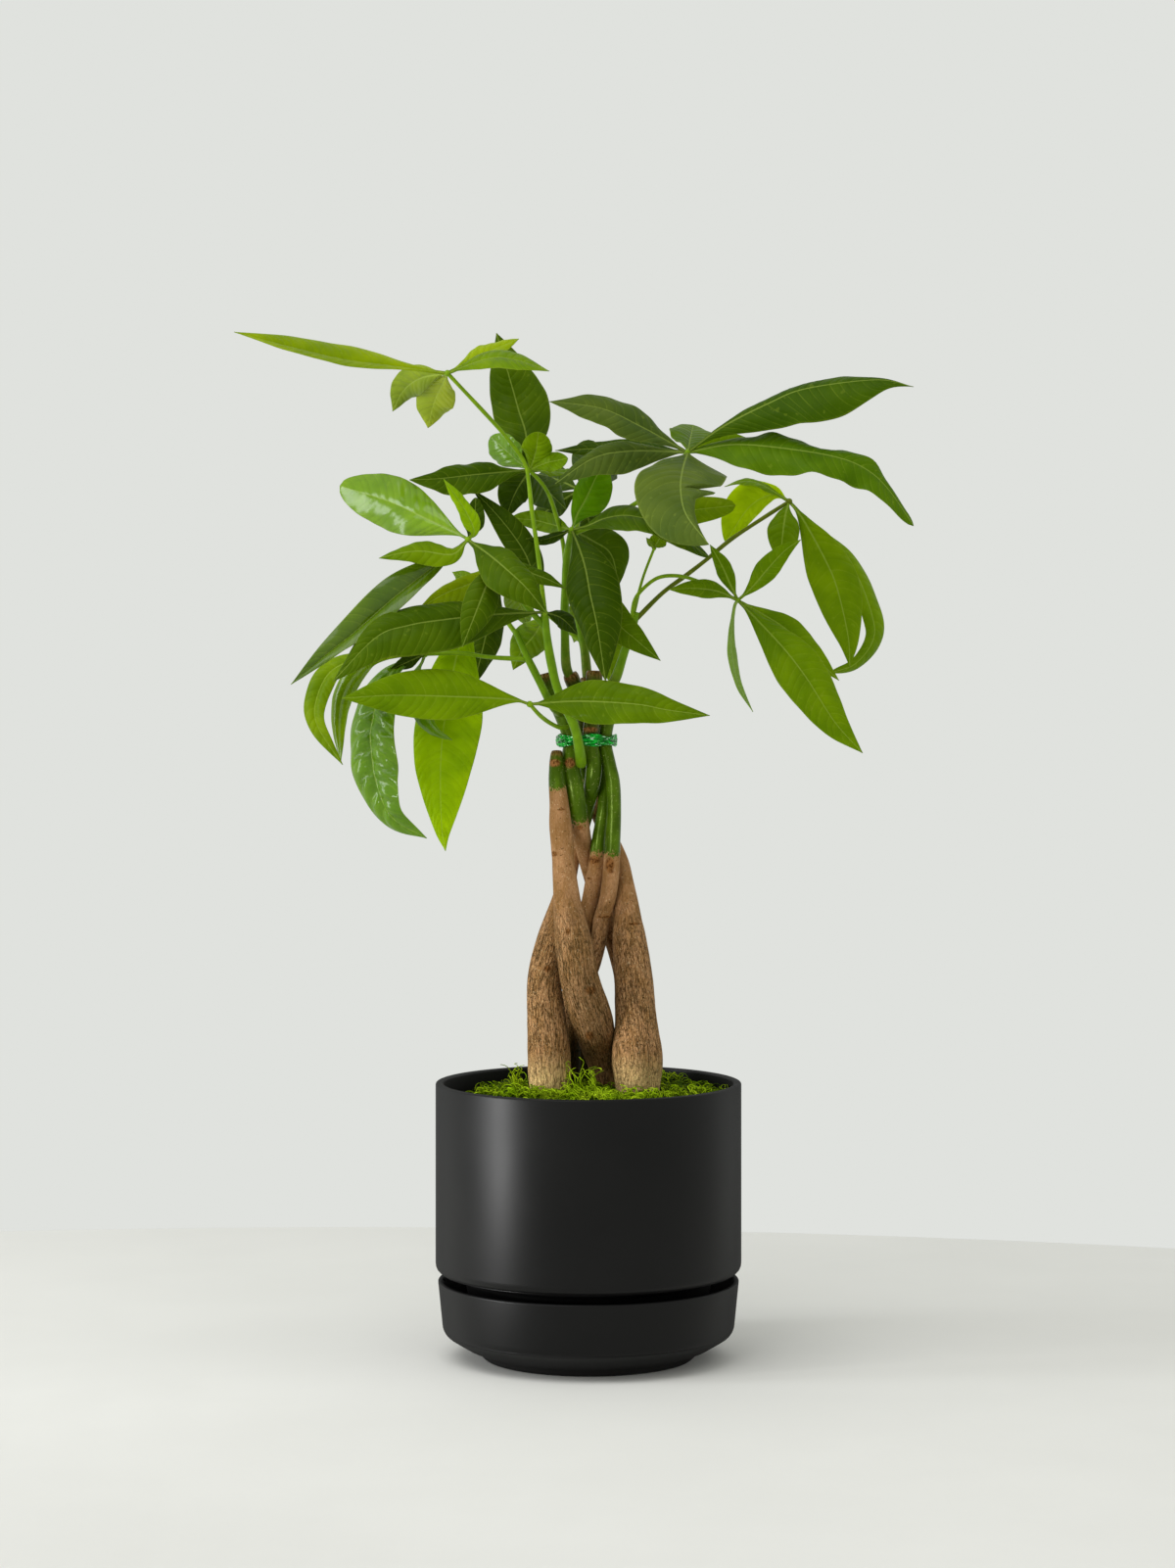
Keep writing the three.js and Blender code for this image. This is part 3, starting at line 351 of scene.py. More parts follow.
class Builder:
    """Collects points, faces and the points' values for one piece, where a value not given is 0."""

    def __init__(self):
        self.places, self.faces, self.slots, self.values = [], [], [], {}
        self.count = 0

    def add(self, places, faces, slot=0, **values):
        """Adds points and a list of face arrays that count from the first of those points."""
        places = np.asarray(places, float).reshape(-1, 3)
        self.places.append(places)
        for group in faces:
            self.faces.append(np.asarray(group, int) + self.count)
            self.slots.append(np.full(len(group), slot))
        for name, value in values.items():
            self.values.setdefault(name, []).append((self.count, np.asarray(value, float)))
        self.count += len(places)

    def add_closed(self, grid, ends, slot=0, flip=False, **values):
        """Adds a grid of points that wraps round, closed by a point before it and one after it."""
        rows, sides = grid.shape[:2]
        faces = [grid_faces(rows, sides, wrap=True), *end_fans(rows, sides)]
        if flip:
            faces = [group[:, ::-1] for group in faces]
        spread = {name: np.concatenate([value, value[:1], value[-1:]]) for name, value in values.items()}
        self.add(np.vstack([grid.reshape(-1, 3), ends]), faces, slot, **spread)

    def add_ring(self, grid, **values):
        """Adds a grid of points that wraps round both ways."""
        rows, sides = grid.shape[:2]
        self.add(grid, [grid_faces(rows + 1, sides, wrap=True) % (rows * sides)], **values)

    def object(self, name, materials):
        """The piece itself, with its materials and its points' values."""
        mesh = bpy.data.meshes.new(name)
        faces = [f for group in self.faces for f in group.tolist()]
        mesh.from_pydata((np.concatenate(self.places) * MM).tolist(), [], faces)
        mesh.polygons.foreach_set("material_index", np.concatenate(self.slots).astype(np.int32))
        mesh.polygons.foreach_set("use_smooth", np.ones(len(faces), bool))
        for value_name, parts in self.values.items():
            self.write_value(mesh, value_name, parts)
        for material in materials:
            mesh.materials.append(material)
        mesh.update()
        piece = bpy.data.objects.new(name, mesh)
        bpy.context.scene.collection.objects.link(piece)
        return piece

    def write_value(self, mesh, name, parts):
        """Writes one value to the mesh's points, from the parts that give it."""
        width = 1 if parts[0][1].ndim == 1 else parts[0][1].shape[1]
        data = np.zeros((self.count, width))
        for start, value in parts:
            data[start:start + len(value)] = value.reshape(len(value), width)
        kind, field = ("FLOAT", "value") if width == 1 else ("FLOAT_VECTOR", "vector")
        layer = mesh.attributes.new(name, kind, "POINT")
        layer.data.foreach_set(field, data.astype(np.float32).ravel())


def dress(piece, node=None):
    """Puts a piece on the root body, and in the place of a node where it has one."""
    if node:
        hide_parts(node)
    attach(piece, "root")


def grid_faces(rows, columns, wrap=False):
    """Faces of a grid of points, row by row, closed round its columns where it wraps."""
    spans = columns if wrap else columns - 1
    i, j = np.meshgrid(np.arange(rows - 1), np.arange(spans), indexing="ij")
    a = i * columns + j
    b = i * columns + (j + 1) % columns
    return np.stack([a, b, b + columns, a + columns], -1).reshape(-1, 4)


def end_fans(rows, sides):
    """Faces that close a wrapped grid with one more point before its first row and after its last."""
    j = np.arange(sides)
    after = (j + 1) % sides
    last = (rows - 1) * sides
    first_fan = np.stack([np.full(sides, rows * sides), after, j], -1)
    last_fan = np.stack([np.full(sides, rows * sides + 1), last + j, last + after], -1)
    return [first_fan, last_fan]


def round_angles(count):
    """Angles evenly round a full turn, without the last that would repeat the first."""
    return np.linspace(0, 2 * np.pi, count, endpoint=False)


def ways_out(line, angle):
    """The ways out from each point of a line, at each angle round it."""
    along = unit(np.gradient(line, axis=0))
    side = unit(np.cross(np.array([0.0, 1.0, 0.0]), along))
    front = np.cross(along, side)
    return np.cos(angle)[None, :, None] * side[:, None] + np.sin(angle)[None, :, None] * front[:, None]


def tube(builder, centres, radii, sides, slot, **values):
    """A closed round tube along centres, with values for each centre."""
    grid = centres[:, None] + ways_out(centres, round_angles(sides)) * np.asarray(radii)[:, None, None]
    spread = {name: np.repeat(value, sides, 0) for name, value in values.items()}
    builder.add_closed(grid, centres[[0, -1]], slot, **spread)


# Materials

def srgb(red, green, blue):
    """A linear colour from 0 to 255 screen values."""
    return tuple((c / 255) ** 2.2 for c in (red, green, blue)) + (1.0,)


class Nodes:
    """Short calls to build a material's nodes."""

    def __init__(self, name):
        self.material = bpy.data.materials.new(name)
        self.material.use_nodes = True
        self.tree = self.material.node_tree
        self.shader = self.tree.nodes["Principled BSDF"]
        self.output = self.tree.nodes["Material Output"]

    def new(self, kind, inputs=(), **settings):
        """A node with its settings, and a value or a link for each of the inputs given."""
        node = self.tree.nodes.new(kind)
        for name, value in settings.items():
            setattr(node, name, value)
        for key, value in dict(inputs).items():
            self.feed(node.inputs[key], value)
        return node

    def feed(self, socket, value):
        """Links an output to a socket, or sets the socket to a plain value."""
        if isinstance(value, bpy.types.NodeSocket):
            self.tree.links.new(value, socket)
        else:
            socket.default_value = value

    def set(self, **values):
        """Feeds the shader's inputs, each named with underscores for its spaces."""
        for name, value in values.items():
            self.feed(self.shader.inputs[name.replace("_", " ")], value)

    def value(self, name, output="Fac"):
        """One of the values that a piece's points have."""
        return self.new("ShaderNodeAttribute", attribute_name=name).outputs[output]

    def place(self):
        return self.new("ShaderNodeTexCoord").outputs["Object"]

    def scaled(self, vector, scale):
        return self.new("ShaderNodeVectorMath", {0: vector, 1: scale}, operation="MULTIPLY").outputs[0]

    def drawn_out(self, vector, scale):
        """A place with its way along the stem scaled, which draws a pattern out that way."""
        return self.scaled(vector, (1.0, 1.0, scale))

    def noise(self, vector, scale, detail=4, rough=0.55, twist=0.0):
        inputs = {"Vector": vector, "Scale": scale, "Detail": detail, "Roughness": rough, "Distortion": twist}
        return self.new("ShaderNodeTexNoise", inputs).outputs["Fac"]

    def math(self, operation, a, b=0.0):
        return self.new("ShaderNodeMath", {0: a, 1: b}, operation=operation).outputs[0]

    def times(self, a, b):
        return self.math("MULTIPLY", a, b)

    def span(self, value, low, high, out_low=0.0, out_high=1.0):
        """Turns values from low to high into values from out_low to out_high, smoothly."""
        inputs = {"Value": value, "From Min": low, "From Max": high, "To Min": out_low, "To Max": out_high}
        return self.new("ShaderNodeMapRange", inputs, interpolation_type="SMOOTHSTEP").outputs["Result"]

    def mix(self, share, a, b, blend="MIX"):
        inputs = {"Factor": share, 6: a, 7: b}
        return self.new("ShaderNodeMix", inputs, data_type="RGBA", blend_type=blend).outputs[2]

    def tinted(self, colour, red, green, blue):
        """A colour with each of its channels multiplied."""
        return self.mix(1.0, colour, (red, green, blue, 1), "MULTIPLY")

    def layered(self, colour, layers):
        """A colour with others laid over it in turn, each by its share."""
        for share, layer in layers:
            colour = self.mix(share, colour, layer)
        return colour

    def cracks(self, vector, scale, width):
        """Thin wavy lines, 1 on the line and 0 away from it."""
        middle = self.math("SUBTRACT", self.noise(vector, scale, 3, 0.5, 0.3), 0.5)
        return self.span(self.math("ABSOLUTE", middle), 0.0, width, 1.0, 0.0)

    def bump(self, height, strength, distance):
        inputs = {"Strength": strength, "Distance": distance, "Height": height}
        normal = self.new("ShaderNodeBump", inputs).outputs["Normal"]
        self.feed(self.shader.inputs["Normal"], normal)
        return normal

    def glow(self, colour, normal, share):
        """Mixes in light that comes through a thin blade."""
        through = self.new("ShaderNodeBsdfTranslucent", {"Color": colour, "Normal": normal})
        shaders = {0: share, 1: self.shader.outputs[0], 2: through.outputs[0]}
        both = self.new("ShaderNodeMixShader", shaders)
        self.feed(self.output.inputs["Surface"], both.outputs[0])


# The tint of what the green pieces reflect.
GREEN_SHINE = (0.75, 1.0, 0.25, 1)
VEIN_GREEN = srgb(186, 204, 70)
RIB_GREEN = srgb(190, 212, 96)
UNDERSIDE_GREEN = srgb(128, 152, 62)
PLAIN_COAT = 0.03
GLOSSY_COAT = 0.85
LIGHT_THROUGH = 0.28


def leaf_material(name, coat):
    """Leaf green from each leaflet's own tint, with veins, a pale rib and light through the blade."""
    n = Nodes(name)
    place = n.place()
    tint = n.value("tint", "Color")
    mottle = n.noise(place, 60, 4)
    broad = n.span(n.noise(place, 21, 2), 0.34, 0.66)
    blade = n.mix(n.span(mottle, 0.3, 0.7), n.tinted(tint, 0.84, 0.88, 0.6), n.tinted(tint, 1.14, 1.1, 0.7))
    blade = n.mix(broad, n.tinted(blade, 0.8, 0.85, 0.85), n.tinted(blade, 1.17, 1.11, 1.0))
    wave = n.math("PINGPONG", n.value("vein"), 0.5)
    near_vein = n.times(n.span(wave, 0.0, 0.06, 1.0, 0.0), n.span(mottle, 0.35, 0.62, 0.12, 0.62))
    speck = n.span(n.noise(place, 330, 1, 0.3), 0.7, 0.76, 0.0, 0.35)
    near_edge = n.span(n.value("edge"), 0.94, 1.0, 0.0, 0.6)
    near_rib = n.span(n.value("off_rib"), 0.22, 0.62, 0.8, 0.0)
    pale = n.mix(0.3, tint, VEIN_GREEN)
    blade = n.layered(blade, [
        (near_vein, pale), (speck, pale), (near_edge, pale), (near_rib, n.mix(0.45, tint, RIB_GREEN)),
        (n.times(n.value("under"), 0.2), UNDERSIDE_GREEN),
    ])
    n.set(Base_Color=blade, Roughness=n.span(mottle, 0.2, 0.8, 0.4, 0.5), Specular_Tint=GREEN_SHINE)
    n.set(Specular_IOR_Level=0.12, Coat_Weight=coat, Coat_Roughness=0.16)
    quilt = n.times(n.span(wave, 0.0, 0.4), 0.8)
    grain = n.times(n.noise(place, 800, 2), 0.22)
    normal = n.bump(n.math("ADD", quilt, grain), 0.5, 0.0005)
    n.glow(n.tinted(blade, 1.2, 1.12, 0.5), normal, LIGHT_THROUGH)
    return n.material


def stalk_material():
    """Blotchy green, brown where a stalk's foot is woody."""
    n = Nodes("stalk_green")
    place = n.place()
    tint = n.value("tint", "Color")
    blotch = n.span(n.noise(place, 160, 4), 0.35, 0.7)
    fresh = n.mix(blotch, n.tinted(tint, 0.86, 0.88, 0.8), n.tinted(tint, 1.2, 1.14, 1.1))
    woody = n.mix(n.span(n.noise(place, 420, 4), 0.4, 0.6), srgb(58, 72, 18), srgb(94, 88, 40))
    n.set(Base_Color=n.mix(n.value("woody"), fresh, woody), Roughness=0.4)
    n.set(Specular_Tint=GREEN_SHINE, Specular_IOR_Level=0.25)
    n.bump(n.noise(place, 700, 3), 0.25, 0.0003)
    return n.material


def bark_marks(n):
    """The patterns that bark is drawn with, most of them drawn out along the stem."""
    grain = n.value("grain", "Vector")
    fissure = n.cracks(n.drawn_out(grain, 0.11), 0.7, 0.035)
    crack = n.cracks(n.drawn_out(grain, 0.2), 1.35, 0.03)
    return {
        "split": n.math("MAXIMUM", fissure, n.times(crack, 0.6)),
        # Thin light lines along the stem, partly pale ridges and partly a painted highlight.
        "ridge": n.cracks(n.drawn_out(grain, 0.16), 1.02, 0.022),
        "fleck": n.noise(n.drawn_out(grain, 0.6), 1.0, 4, 0.62),
        "patch": n.noise(n.drawn_out(grain, 0.5), 0.16, 3),
        "dots": n.noise(n.drawn_out(grain, 1.4), 0.8, 2, 0.4),
    }


def brown_bark(n, split, ridge, fleck, patch, dots):
    """Tan bark with flecks, light ridge lines that are partly pale bark and partly a painted highlight, dark
    splits and dots, and a bleached foot.
    """
    rough, foot = n.value("rough"), n.value("pale")
    tan = n.mix(n.span(patch, 0.36, 0.66), srgb(150, 108, 69), srgb(176, 130, 91))
    return n.layered(tan, [
        (n.span(fleck, 0.5, 0.72, 0.0, 0.5), srgb(120, 78, 42)),
        (n.span(fleck, 0.3, 0.42, 0.55, 0.0), srgb(214, 182, 138)),
        # Light ridge lines: partly pale bark, partly a painted highlight.
        (n.times(ridge, n.span(rough, 0.2, 1.0, 0.0, 0.6)), srgb(220, 180, 128)),
        (n.times(split, n.span(rough, 0.0, 1.0, 0.1, 0.92)), srgb(76, 46, 24)),
        (n.span(dots, 0.68, 0.71, 0.0, 0.85), srgb(62, 38, 22)),
        (n.span(dots, 0.28, 0.31, 0.5, 0.0), srgb(214, 188, 150)),
        (n.times(foot, n.span(fleck, 0.36, 0.62, 0.25, 0.9)), srgb(238, 206, 140)),
        (n.times(split, n.times(foot, 0.55)), srgb(112, 76, 40)),
    ])


def bark_material():
    """Brown bark that turns smooth and green above, rough and furrowed below, and pale at the foot, with
    painted shade low on the shaded stems.
    """
    n = Nodes("bark")
    marks = bark_marks(n)
    split, fleck, patch, dots = (marks[key] for key in ("split", "fleck", "patch", "dots"))
    flecked = n.span(fleck, 0.4, 0.6)
    green = n.mix(n.span(patch, 0.35, 0.65), srgb(56, 79, 11), srgb(76, 103, 20))
    green = n.mix(n.span(dots, 0.3, 0.34, 0.4, 0.0), green, srgb(150, 156, 96))
    greenness = n.math("ADD", n.value("green"), n.times(n.math("SUBTRACT", fleck, 0.5), 0.9))
    colour = n.layered(brown_bark(n, **marks), [
        (n.span(greenness, 0.46, 0.54), green),
        # Darker brown near the top, and painted shade low on the shaded stems.
        (n.value("dark"), n.mix(flecked, srgb(34, 26, 14), srgb(66, 48, 30))),
        (n.span(n.value("scar"), 0.25, 0.7), n.mix(flecked, srgb(84, 46, 24), srgb(148, 98, 58))),
    ])
    n.set(Base_Color=colour, Roughness=n.span(greenness, 0.45, 0.55, 0.85, 0.22))
    n.set(Specular_Tint=GREEN_SHINE, Specular_IOR_Level=0.3)
    splits = n.times(split, n.span(n.value("rough"), 0.0, 1.0, -0.1, -0.8))
    splits = n.times(splits, n.span(greenness, 0.4, 0.6, 1.0, 0.0))
    grain = n.times(fleck, n.span(greenness, 0.4, 0.6, 0.45, 0.08))
    n.bump(n.math("ADD", splits, grain), 1.0, 0.0011)
    return n.material


BLACK = (0.0016, 0.0016, 0.0016, 1)
WORN_BLACK = (0.003, 0.0029, 0.0028, 1)
BLACK_ROUGHNESS = 0.37
EDGE_ROUGHNESS = 0.4


def black_material():
    """Satin black plastic, duller where it is seen edge on."""
    n = Nodes("black_plastic")
    place = n.place()
    cloud = n.noise(place, 14, 4)
    turned = n.new("ShaderNodeLayerWeight").outputs["Facing"]
    worn = n.span(cloud, 0.3, 0.7, BLACK_ROUGHNESS - 0.02, BLACK_ROUGHNESS + 0.03)
    dulled = n.math("ADD", worn, n.span(turned, 0.35, 1.0, 0.0, EDGE_ROUGHNESS))
    n.set(Base_Color=n.mix(n.span(cloud, 0.3, 0.7), BLACK, WORN_BLACK), Roughness=dulled, IOR=1.28)
    n.bump(n.noise(place, 1400, 3), 0.12, 0.0002)
    return n.material


def soil_material():
    """Dark crumbs of potting soil."""
    n = Nodes("potting_soil")
    crumb = n.noise(n.place(), 420, 6)
    colour = n.mix(n.span(crumb, 0.35, 0.68), srgb(18, 14, 10), srgb(58, 50, 38))
    n.set(Base_Color=colour, Roughness=0.95, Specular_IOR_Level=0.1)
    n.bump(crumb, 0.9, 0.002)
    return n.material


def moss_material():
    """Moss from dark green to yellow green by each point's light value: a random tone, with painted light on
    clumps and painted shade between them and across the pot.
    """
    n = Nodes("moss_green")
    place = n.place()
    patch = n.span(n.noise(place, 60, 4), 0.35, 0.68)
    low = n.mix(patch, srgb(20, 30, 3), srgb(50, 70, 8))
    high = n.mix(patch, srgb(138, 178, 10), srgb(196, 226, 44))
    # The light value carries painted light on clumps and painted shade between them and across the pot.
    n.set(Base_Color=n.mix(n.value("light"), low, high), Roughness=0.9, Specular_IOR_Level=0.05)
    n.bump(n.noise(place, 900, 4), 0.8, 0.001)
    return n.material


def foil_material():
    """Creased green metal foil with painted shade in its creases, painted light on its folds and painted
    white glints, drawn out round the band.
    """
    n = Nodes("tie_foil")
    foil = n.value("foil", "Vector")
    crease = n.noise(n.scaled(foil, (0.16, 1.0, 1.0)), 1.1, 3, 0.55, 0.6)
    # Painted highlight: white glints laid into the foil's colour.
    painted_glint = n.noise(n.scaled(foil, (0.3, 1.0, 1.0)), 1.7, 2, 0.5, 0.4)
    # Painted shade in the creases and painted light on the raised folds, following the bump.
    green = n.mix(n.span(crease, 0.38, 0.62), srgb(2, 66, 14), srgb(18, 190, 54))
    n.set(Base_Color=n.mix(n.span(painted_glint, 0.58, 0.68), green, srgb(206, 250, 212)))
    n.set(Metallic=0.8, Roughness=n.span(crease, 0.3, 0.7, 0.12, 0.3))
    n.bump(crease, 0.8, 0.001)
    return n.material


LEAF = leaf_material("leaf_green", PLAIN_COAT)
GLOSSY_LEAF = leaf_material("leaf_glossy", GLOSSY_COAT)
STALK = stalk_material()
BARK = bark_material()
BLACK_PLASTIC = black_material()
SOIL = soil_material()
MOSS = moss_material()
FOIL = foil_material()


# Leaflets

# The blades' colours, and those of glossy blades.
TONES = {
    "bright": (150, 176, 4), "fresh": (148, 170, 58), "fresher": (187, 203, 70), "leafy": (114, 146, 2),
    "lime": (136, 176, 2), "gold": (155, 193, 2), "amber": (126, 156, 4), "lemon": (208, 236, 4),
    "mid": (116, 150, 3), "mid_low": (94, 124, 3), "mid_soft": (86, 120, 14), "deep": (78, 106, 3),
    "deep_soft": (68, 97, 4), "dark": (60, 84, 2), "grey": (88, 108, 52), "olive": (136, 166, 12),
    "pale": (150, 184, 96), "fern": (98, 148, 3),
}
GLOSSY_TONES = {
    "gold_gloss": (136, 172, 4), "gloss": (108, 154, 8), "lit_gloss": (122, 164, 24),
    "edge_gloss": (90, 121, 12),
}

BLADE_ROWS = 64
HALF_COLUMNS = np.array([0, 0.03, 0.08, 0.18, 0.32, 0.46, 0.6, 0.74, 0.87, 0.96, 1.0])
MIDDLE = len(HALF_COLUMNS) - 1
LEAST_HALF_WIDTH = 1.5
TIP_HALF_WIDTH = 0.3
BLADE_THICKNESS = 0.36
FOOT_THICKNESS = 1.4
VEIN_SPACING = 5.6
LEAST_VEINS = 8
VEIN_LEAN = 0.55
# Half width from which a blade's relief is full, and the heights of its forms there.
FULL_RELIEF_FROM = 14
QUILT_HEIGHT = 0.4
WAVE_HEIGHT = 1.1
RIPPLE_HEIGHT = 0.3
ARCH_HEIGHT = 1.2
RIDGE_HEIGHT = 0.7
RIDGE_REACH = 0.7
# The share of its length over which a blade thickens to its foot.
FOOT_SHARE = 0.09
# Rows before, at and after a tear, as shares of the rib, and what a tear leaves of the half width.
TEAR_ROWS = (-0.03, 0, 0.04)
TEAR_LEAVES = 0.26
# Past a tear, where the corner starts to be lost, where it is lost in full, and how much is lost.
CORNER_LOST = (0.07, 0.13, 0.5)


def blade_width(t, peak, blunt):
    """The share of its half width that a blade has along its length, all of it at its peak."""
    rising = (0.5 - 0.5 * np.cos(np.pi * np.minimum(t, peak) / peak)) ** 0.8
    falling = np.cos(np.clip((t - peak) / (1 - peak), 0, 1) * np.pi / 2) ** blunt
    return np.where(t < peak, rising, falling)


def hand_edge(t, hand, leaflet):
    """How far one hand's edge reaches out in the view and lies behind, at rows t."""
    own = hand if len(hand) == 4 else [*hand, leaflet.get("peak", 0.5), leaflet.get("blunt", 1)]
    width, behind, peak, blunt = own
    share = blade_width(t, peak, blunt)
    return width * share, behind * share


def blade_rows(leaflet):
    """The shares of its length where a blade has rows, with three more where it is torn."""
    rows = np.linspace(0, 1, BLADE_ROWS)
    tear = leaflet.get("tear")
    if tear is None:
        return rows
    spare = 0.005
    away = (rows < tear + TEAR_ROWS[0] - spare) | (rows > tear + TEAR_ROWS[2] + spare)
    return np.sort(np.concatenate([rows[away], tear + np.array(TEAR_ROWS)]))


def blade_sheet(hub, leaflet, t, c):
    """The blade's middle surface, its upward way and each point's distance from the rib."""
    route = [hub, *leaflet["rib"]]
    knots = evened(route, t)
    middle = catmull(route, knots)
    ahead = catmull(route, np.minimum(knots + 0.01, 1)) - catmull(route, np.maximum(knots - 0.01, 0))
    way = ahead[:, :2] / np.linalg.norm(ahead[:, :2], axis=1, keepdims=True)
    (left, left_back), (right, right_back) = (hand_edge(t, leaflet[h], leaflet) for h in ("left", "right"))
    if "tear" in leaflet:
        start, full, lost = CORNER_LOST
        left = left * (1 - lost * smooth(t - leaflet["tear"], start, full))
        left = np.where(np.abs(t - leaflet["tear"]) < 1e-6, left * TEAR_LEAVES, left)
    least = TIP_HALF_WIDTH + (LEAST_HALF_WIDTH - TIP_HALF_WIDTH) * (1 - smooth(t, 0.75, 0.97))[:, None]
    reach = np.maximum(np.where(c >= 0, left[:, None], right[:, None]), least) * c
    behind = np.where(c >= 0, left_back[:, None], right_back[:, None]) * np.abs(c)
    places = np.stack([
        middle[:, :1] + way[:, 1:] * reach,
        middle[:, 1:2] - way[:, :1] * reach,
        middle[:, 2:] + behind,
    ], -1)
    sheet = seen(places)
    upward = unit(np.cross(np.gradient(sheet, axis=0), np.gradient(sheet, axis=1)))
    span = np.linalg.norm(sheet - sheet[:, MIDDLE:MIDDLE + 1], axis=-1)
    return sheet, upward, span


def blade_lift(draw, t, off, hand, vein, half, wave, crinkle):
    """How far a blade's surface stands off its middle sheet: quilting, waves and a curled margin."""
    t = t[:, None]
    body = np.sin(np.pi * t)
    across = np.sin(np.pi * off**0.8)
    quilt = np.abs(np.sin(np.pi * vein)) ** 0.7 * across * body
    ripple = np.sin(2 * np.pi * (draw.uniform(1.8, 3.0) * t + draw.uniform(0, 1) + 0.25 * hand))
    fine = np.sin(2 * np.pi * (draw.uniform(6, 8) * t + draw.uniform(0, 1) + 0.2 * hand))
    arch = 1 - (2 * off - 1) ** 2
    margin = WAVE_HEIGHT * wave * ripple * off**2 + RIPPLE_HEIGHT * wave * fine * off**4
    puff = np.sin(2 * np.pi * (vein * 0.5 + 0.21 * hand)) * across
    size = min(half / FULL_RELIEF_FROM, 1.0)
    return size * body * ((QUILT_HEIGHT + crinkle) * quilt + crinkle * puff + margin + ARCH_HEIGHT * arch)


def vein_field(draw, t, off, hand, half, length):
    """A count along the blade that is whole on each side vein, which leans to the tip and wavers."""
    lean = VEIN_LEAN * (0.45 * off + 0.75 * off**2) * half / length
    vein = max(length / VEIN_SPACING, LEAST_VEINS) * (t[:, None] - lean)
    return vein + 0.16 * np.sin(vein * 2.3 + draw.uniform(0, 6) + hand)


def blade_values(draw, leaflet, t, off, vein, span):
    """The values that the blade's material reads, for its upper and then its lower points."""
    tint = np.array(srgb(*{**TONES, **GLOSSY_TONES}[leaflet["tone"]])[:3]) * draw.uniform(0.93, 1.07)
    return {
        "vein": np.tile(vein.ravel(), 2),
        "edge": np.tile(np.broadcast_to(off, vein.shape).ravel(), 2),
        "off_rib": np.tile((span / np.maximum(1.25 - t[:, None], 0.4)).ravel(), 2),
        "under": np.repeat([0.0, 1.0], vein.size),
        "tint": np.tile(tint, (2 * vein.size, 1)),
    }


def blade(builder, hub, leaflet, seed):
    """One leaflet: an upper and a lower grid of points, closed round the border."""
    draw = np.random.default_rng(seed)
    t = blade_rows(leaflet)
    c = np.concatenate([-HALF_COLUMNS[:0:-1], HALF_COLUMNS])
    sheet, upward, span = blade_sheet(hub, leaflet, t, c)
    length = np.linalg.norm(np.diff(sheet[:, MIDDLE], axis=0), axis=1).sum()
    half = span.max()
    off, hand = np.abs(c)[None, :], np.sign(c)[None, :]
    vein = vein_field(draw, t, off, hand, half, length)
    wave, crinkle = leaflet.get("wave", 1), leaflet.get("crinkle", 0)
    lift = blade_lift(draw, t, off, hand, vein, half, wave, crinkle)
    foot = np.clip(1 - t / FOOT_SHARE, 0, 1)[:, None] ** 1.5
    thick = BLADE_THICKNESS * (1 - 0.4 * off) + (FOOT_THICKNESS - BLADE_THICKNESS) * foot
    near_rib = np.exp(-(span / RIDGE_REACH) ** 2) * (1 - t[:, None])
    ridge = RIDGE_HEIGHT * min(half / FULL_RELIEF_FROM, 1.0) * near_rib
    upper = sheet + upward * (lift + thick / 2 - 0.3 * ridge)[..., None]
    lower = sheet + upward * (lift - thick / 2 - ridge)[..., None]
    top = grid_faces(len(t), len(c))
    faces = [top[:, ::-1], top + vein.size, rim_faces(len(t), len(c))]
    slot = SHOOT_MATERIALS.index(GLOSSY_LEAF if leaflet["tone"] in GLOSSY_TONES else LEAF)
    points = np.concatenate([upper.reshape(-1, 3), lower.reshape(-1, 3)])
    builder.add(points, faces, slot, **blade_values(draw, leaflet, t, off, vein, span))


def rim_faces(rows, columns):
    """Faces that close a blade's upper and lower grids round its border."""
    total = rows * columns
    down = np.arange(rows) * columns
    right = (rows - 1) * columns + np.arange(columns)
    border = np.concatenate([
        np.arange(columns - 1), down[:-1] + columns - 1, right[::-1][:-1], down[::-1][:-1],
    ])
    after = np.roll(border, -1)
    return np.stack([border, after, after + total, border + total], -1)


# Stalks and shoots

HUB_RADIUS = 1.9
HUB_ROWS = 9
STALK_RADIUS = [1.3, 1.05]
STALK_SPACING = 1.6
STALK_SIDES = 12
STALK_TINTS = {"shoot": (104, 142, 26), "leaf": (120, 156, 30), "woody": (96, 108, 30)}
WOODY_FOOT = 0.8
# The shoot whose stalk is green down to its foot, where it grows from under the tie.
GREEN_FOOTED = "shoot_front"
SHOOT_MATERIALS = [LEAF, STALK, GLOSSY_LEAF]


def stalk_values(count, tone, woody):
    """The values that the stalks' material reads."""
    return {"tint": np.tile(np.array(srgb(*STALK_TINTS[tone])[:3]), (count, 1)), "woody": woody}


def stalk(builder, route, radius, tone, woody_foot=0.0):
    """A round stalk along a route in the view, with a radius at each end."""
    centres = seen(route)
    rows = max(int(lengths_along(centres)[-1] / STALK_SPACING), 6)
    t = np.linspace(0, 1, rows)
    line = catmull(centres, evened(centres, t))
    radii = (radius[0] + (radius[1] - radius[0]) * t) * (1 + 0.05 * np.sin(t * rows * 0.35))
    woody = woody_foot * np.clip(1 - t * 3, 0, 1)
    tube(builder, line, radii, STALK_SIDES, SHOOT_MATERIALS.index(STALK), **stalk_values(rows, tone, woody))


def hub_ball(builder, hub, way, radius, tone):
    """A ball at a hub, as a short tube along the way that the stalk has there."""
    t = np.linspace(0, np.pi, HUB_ROWS)
    line = seen(hub) + np.outer(-np.cos(t), way) * radius
    radii = np.maximum(np.sin(t), 0.05) * radius
    values = stalk_values(HUB_ROWS, tone, np.zeros(HUB_ROWS))
    tube(builder, line, radii, STALK_SIDES, SHOOT_MATERIALS.index(STALK), **values)


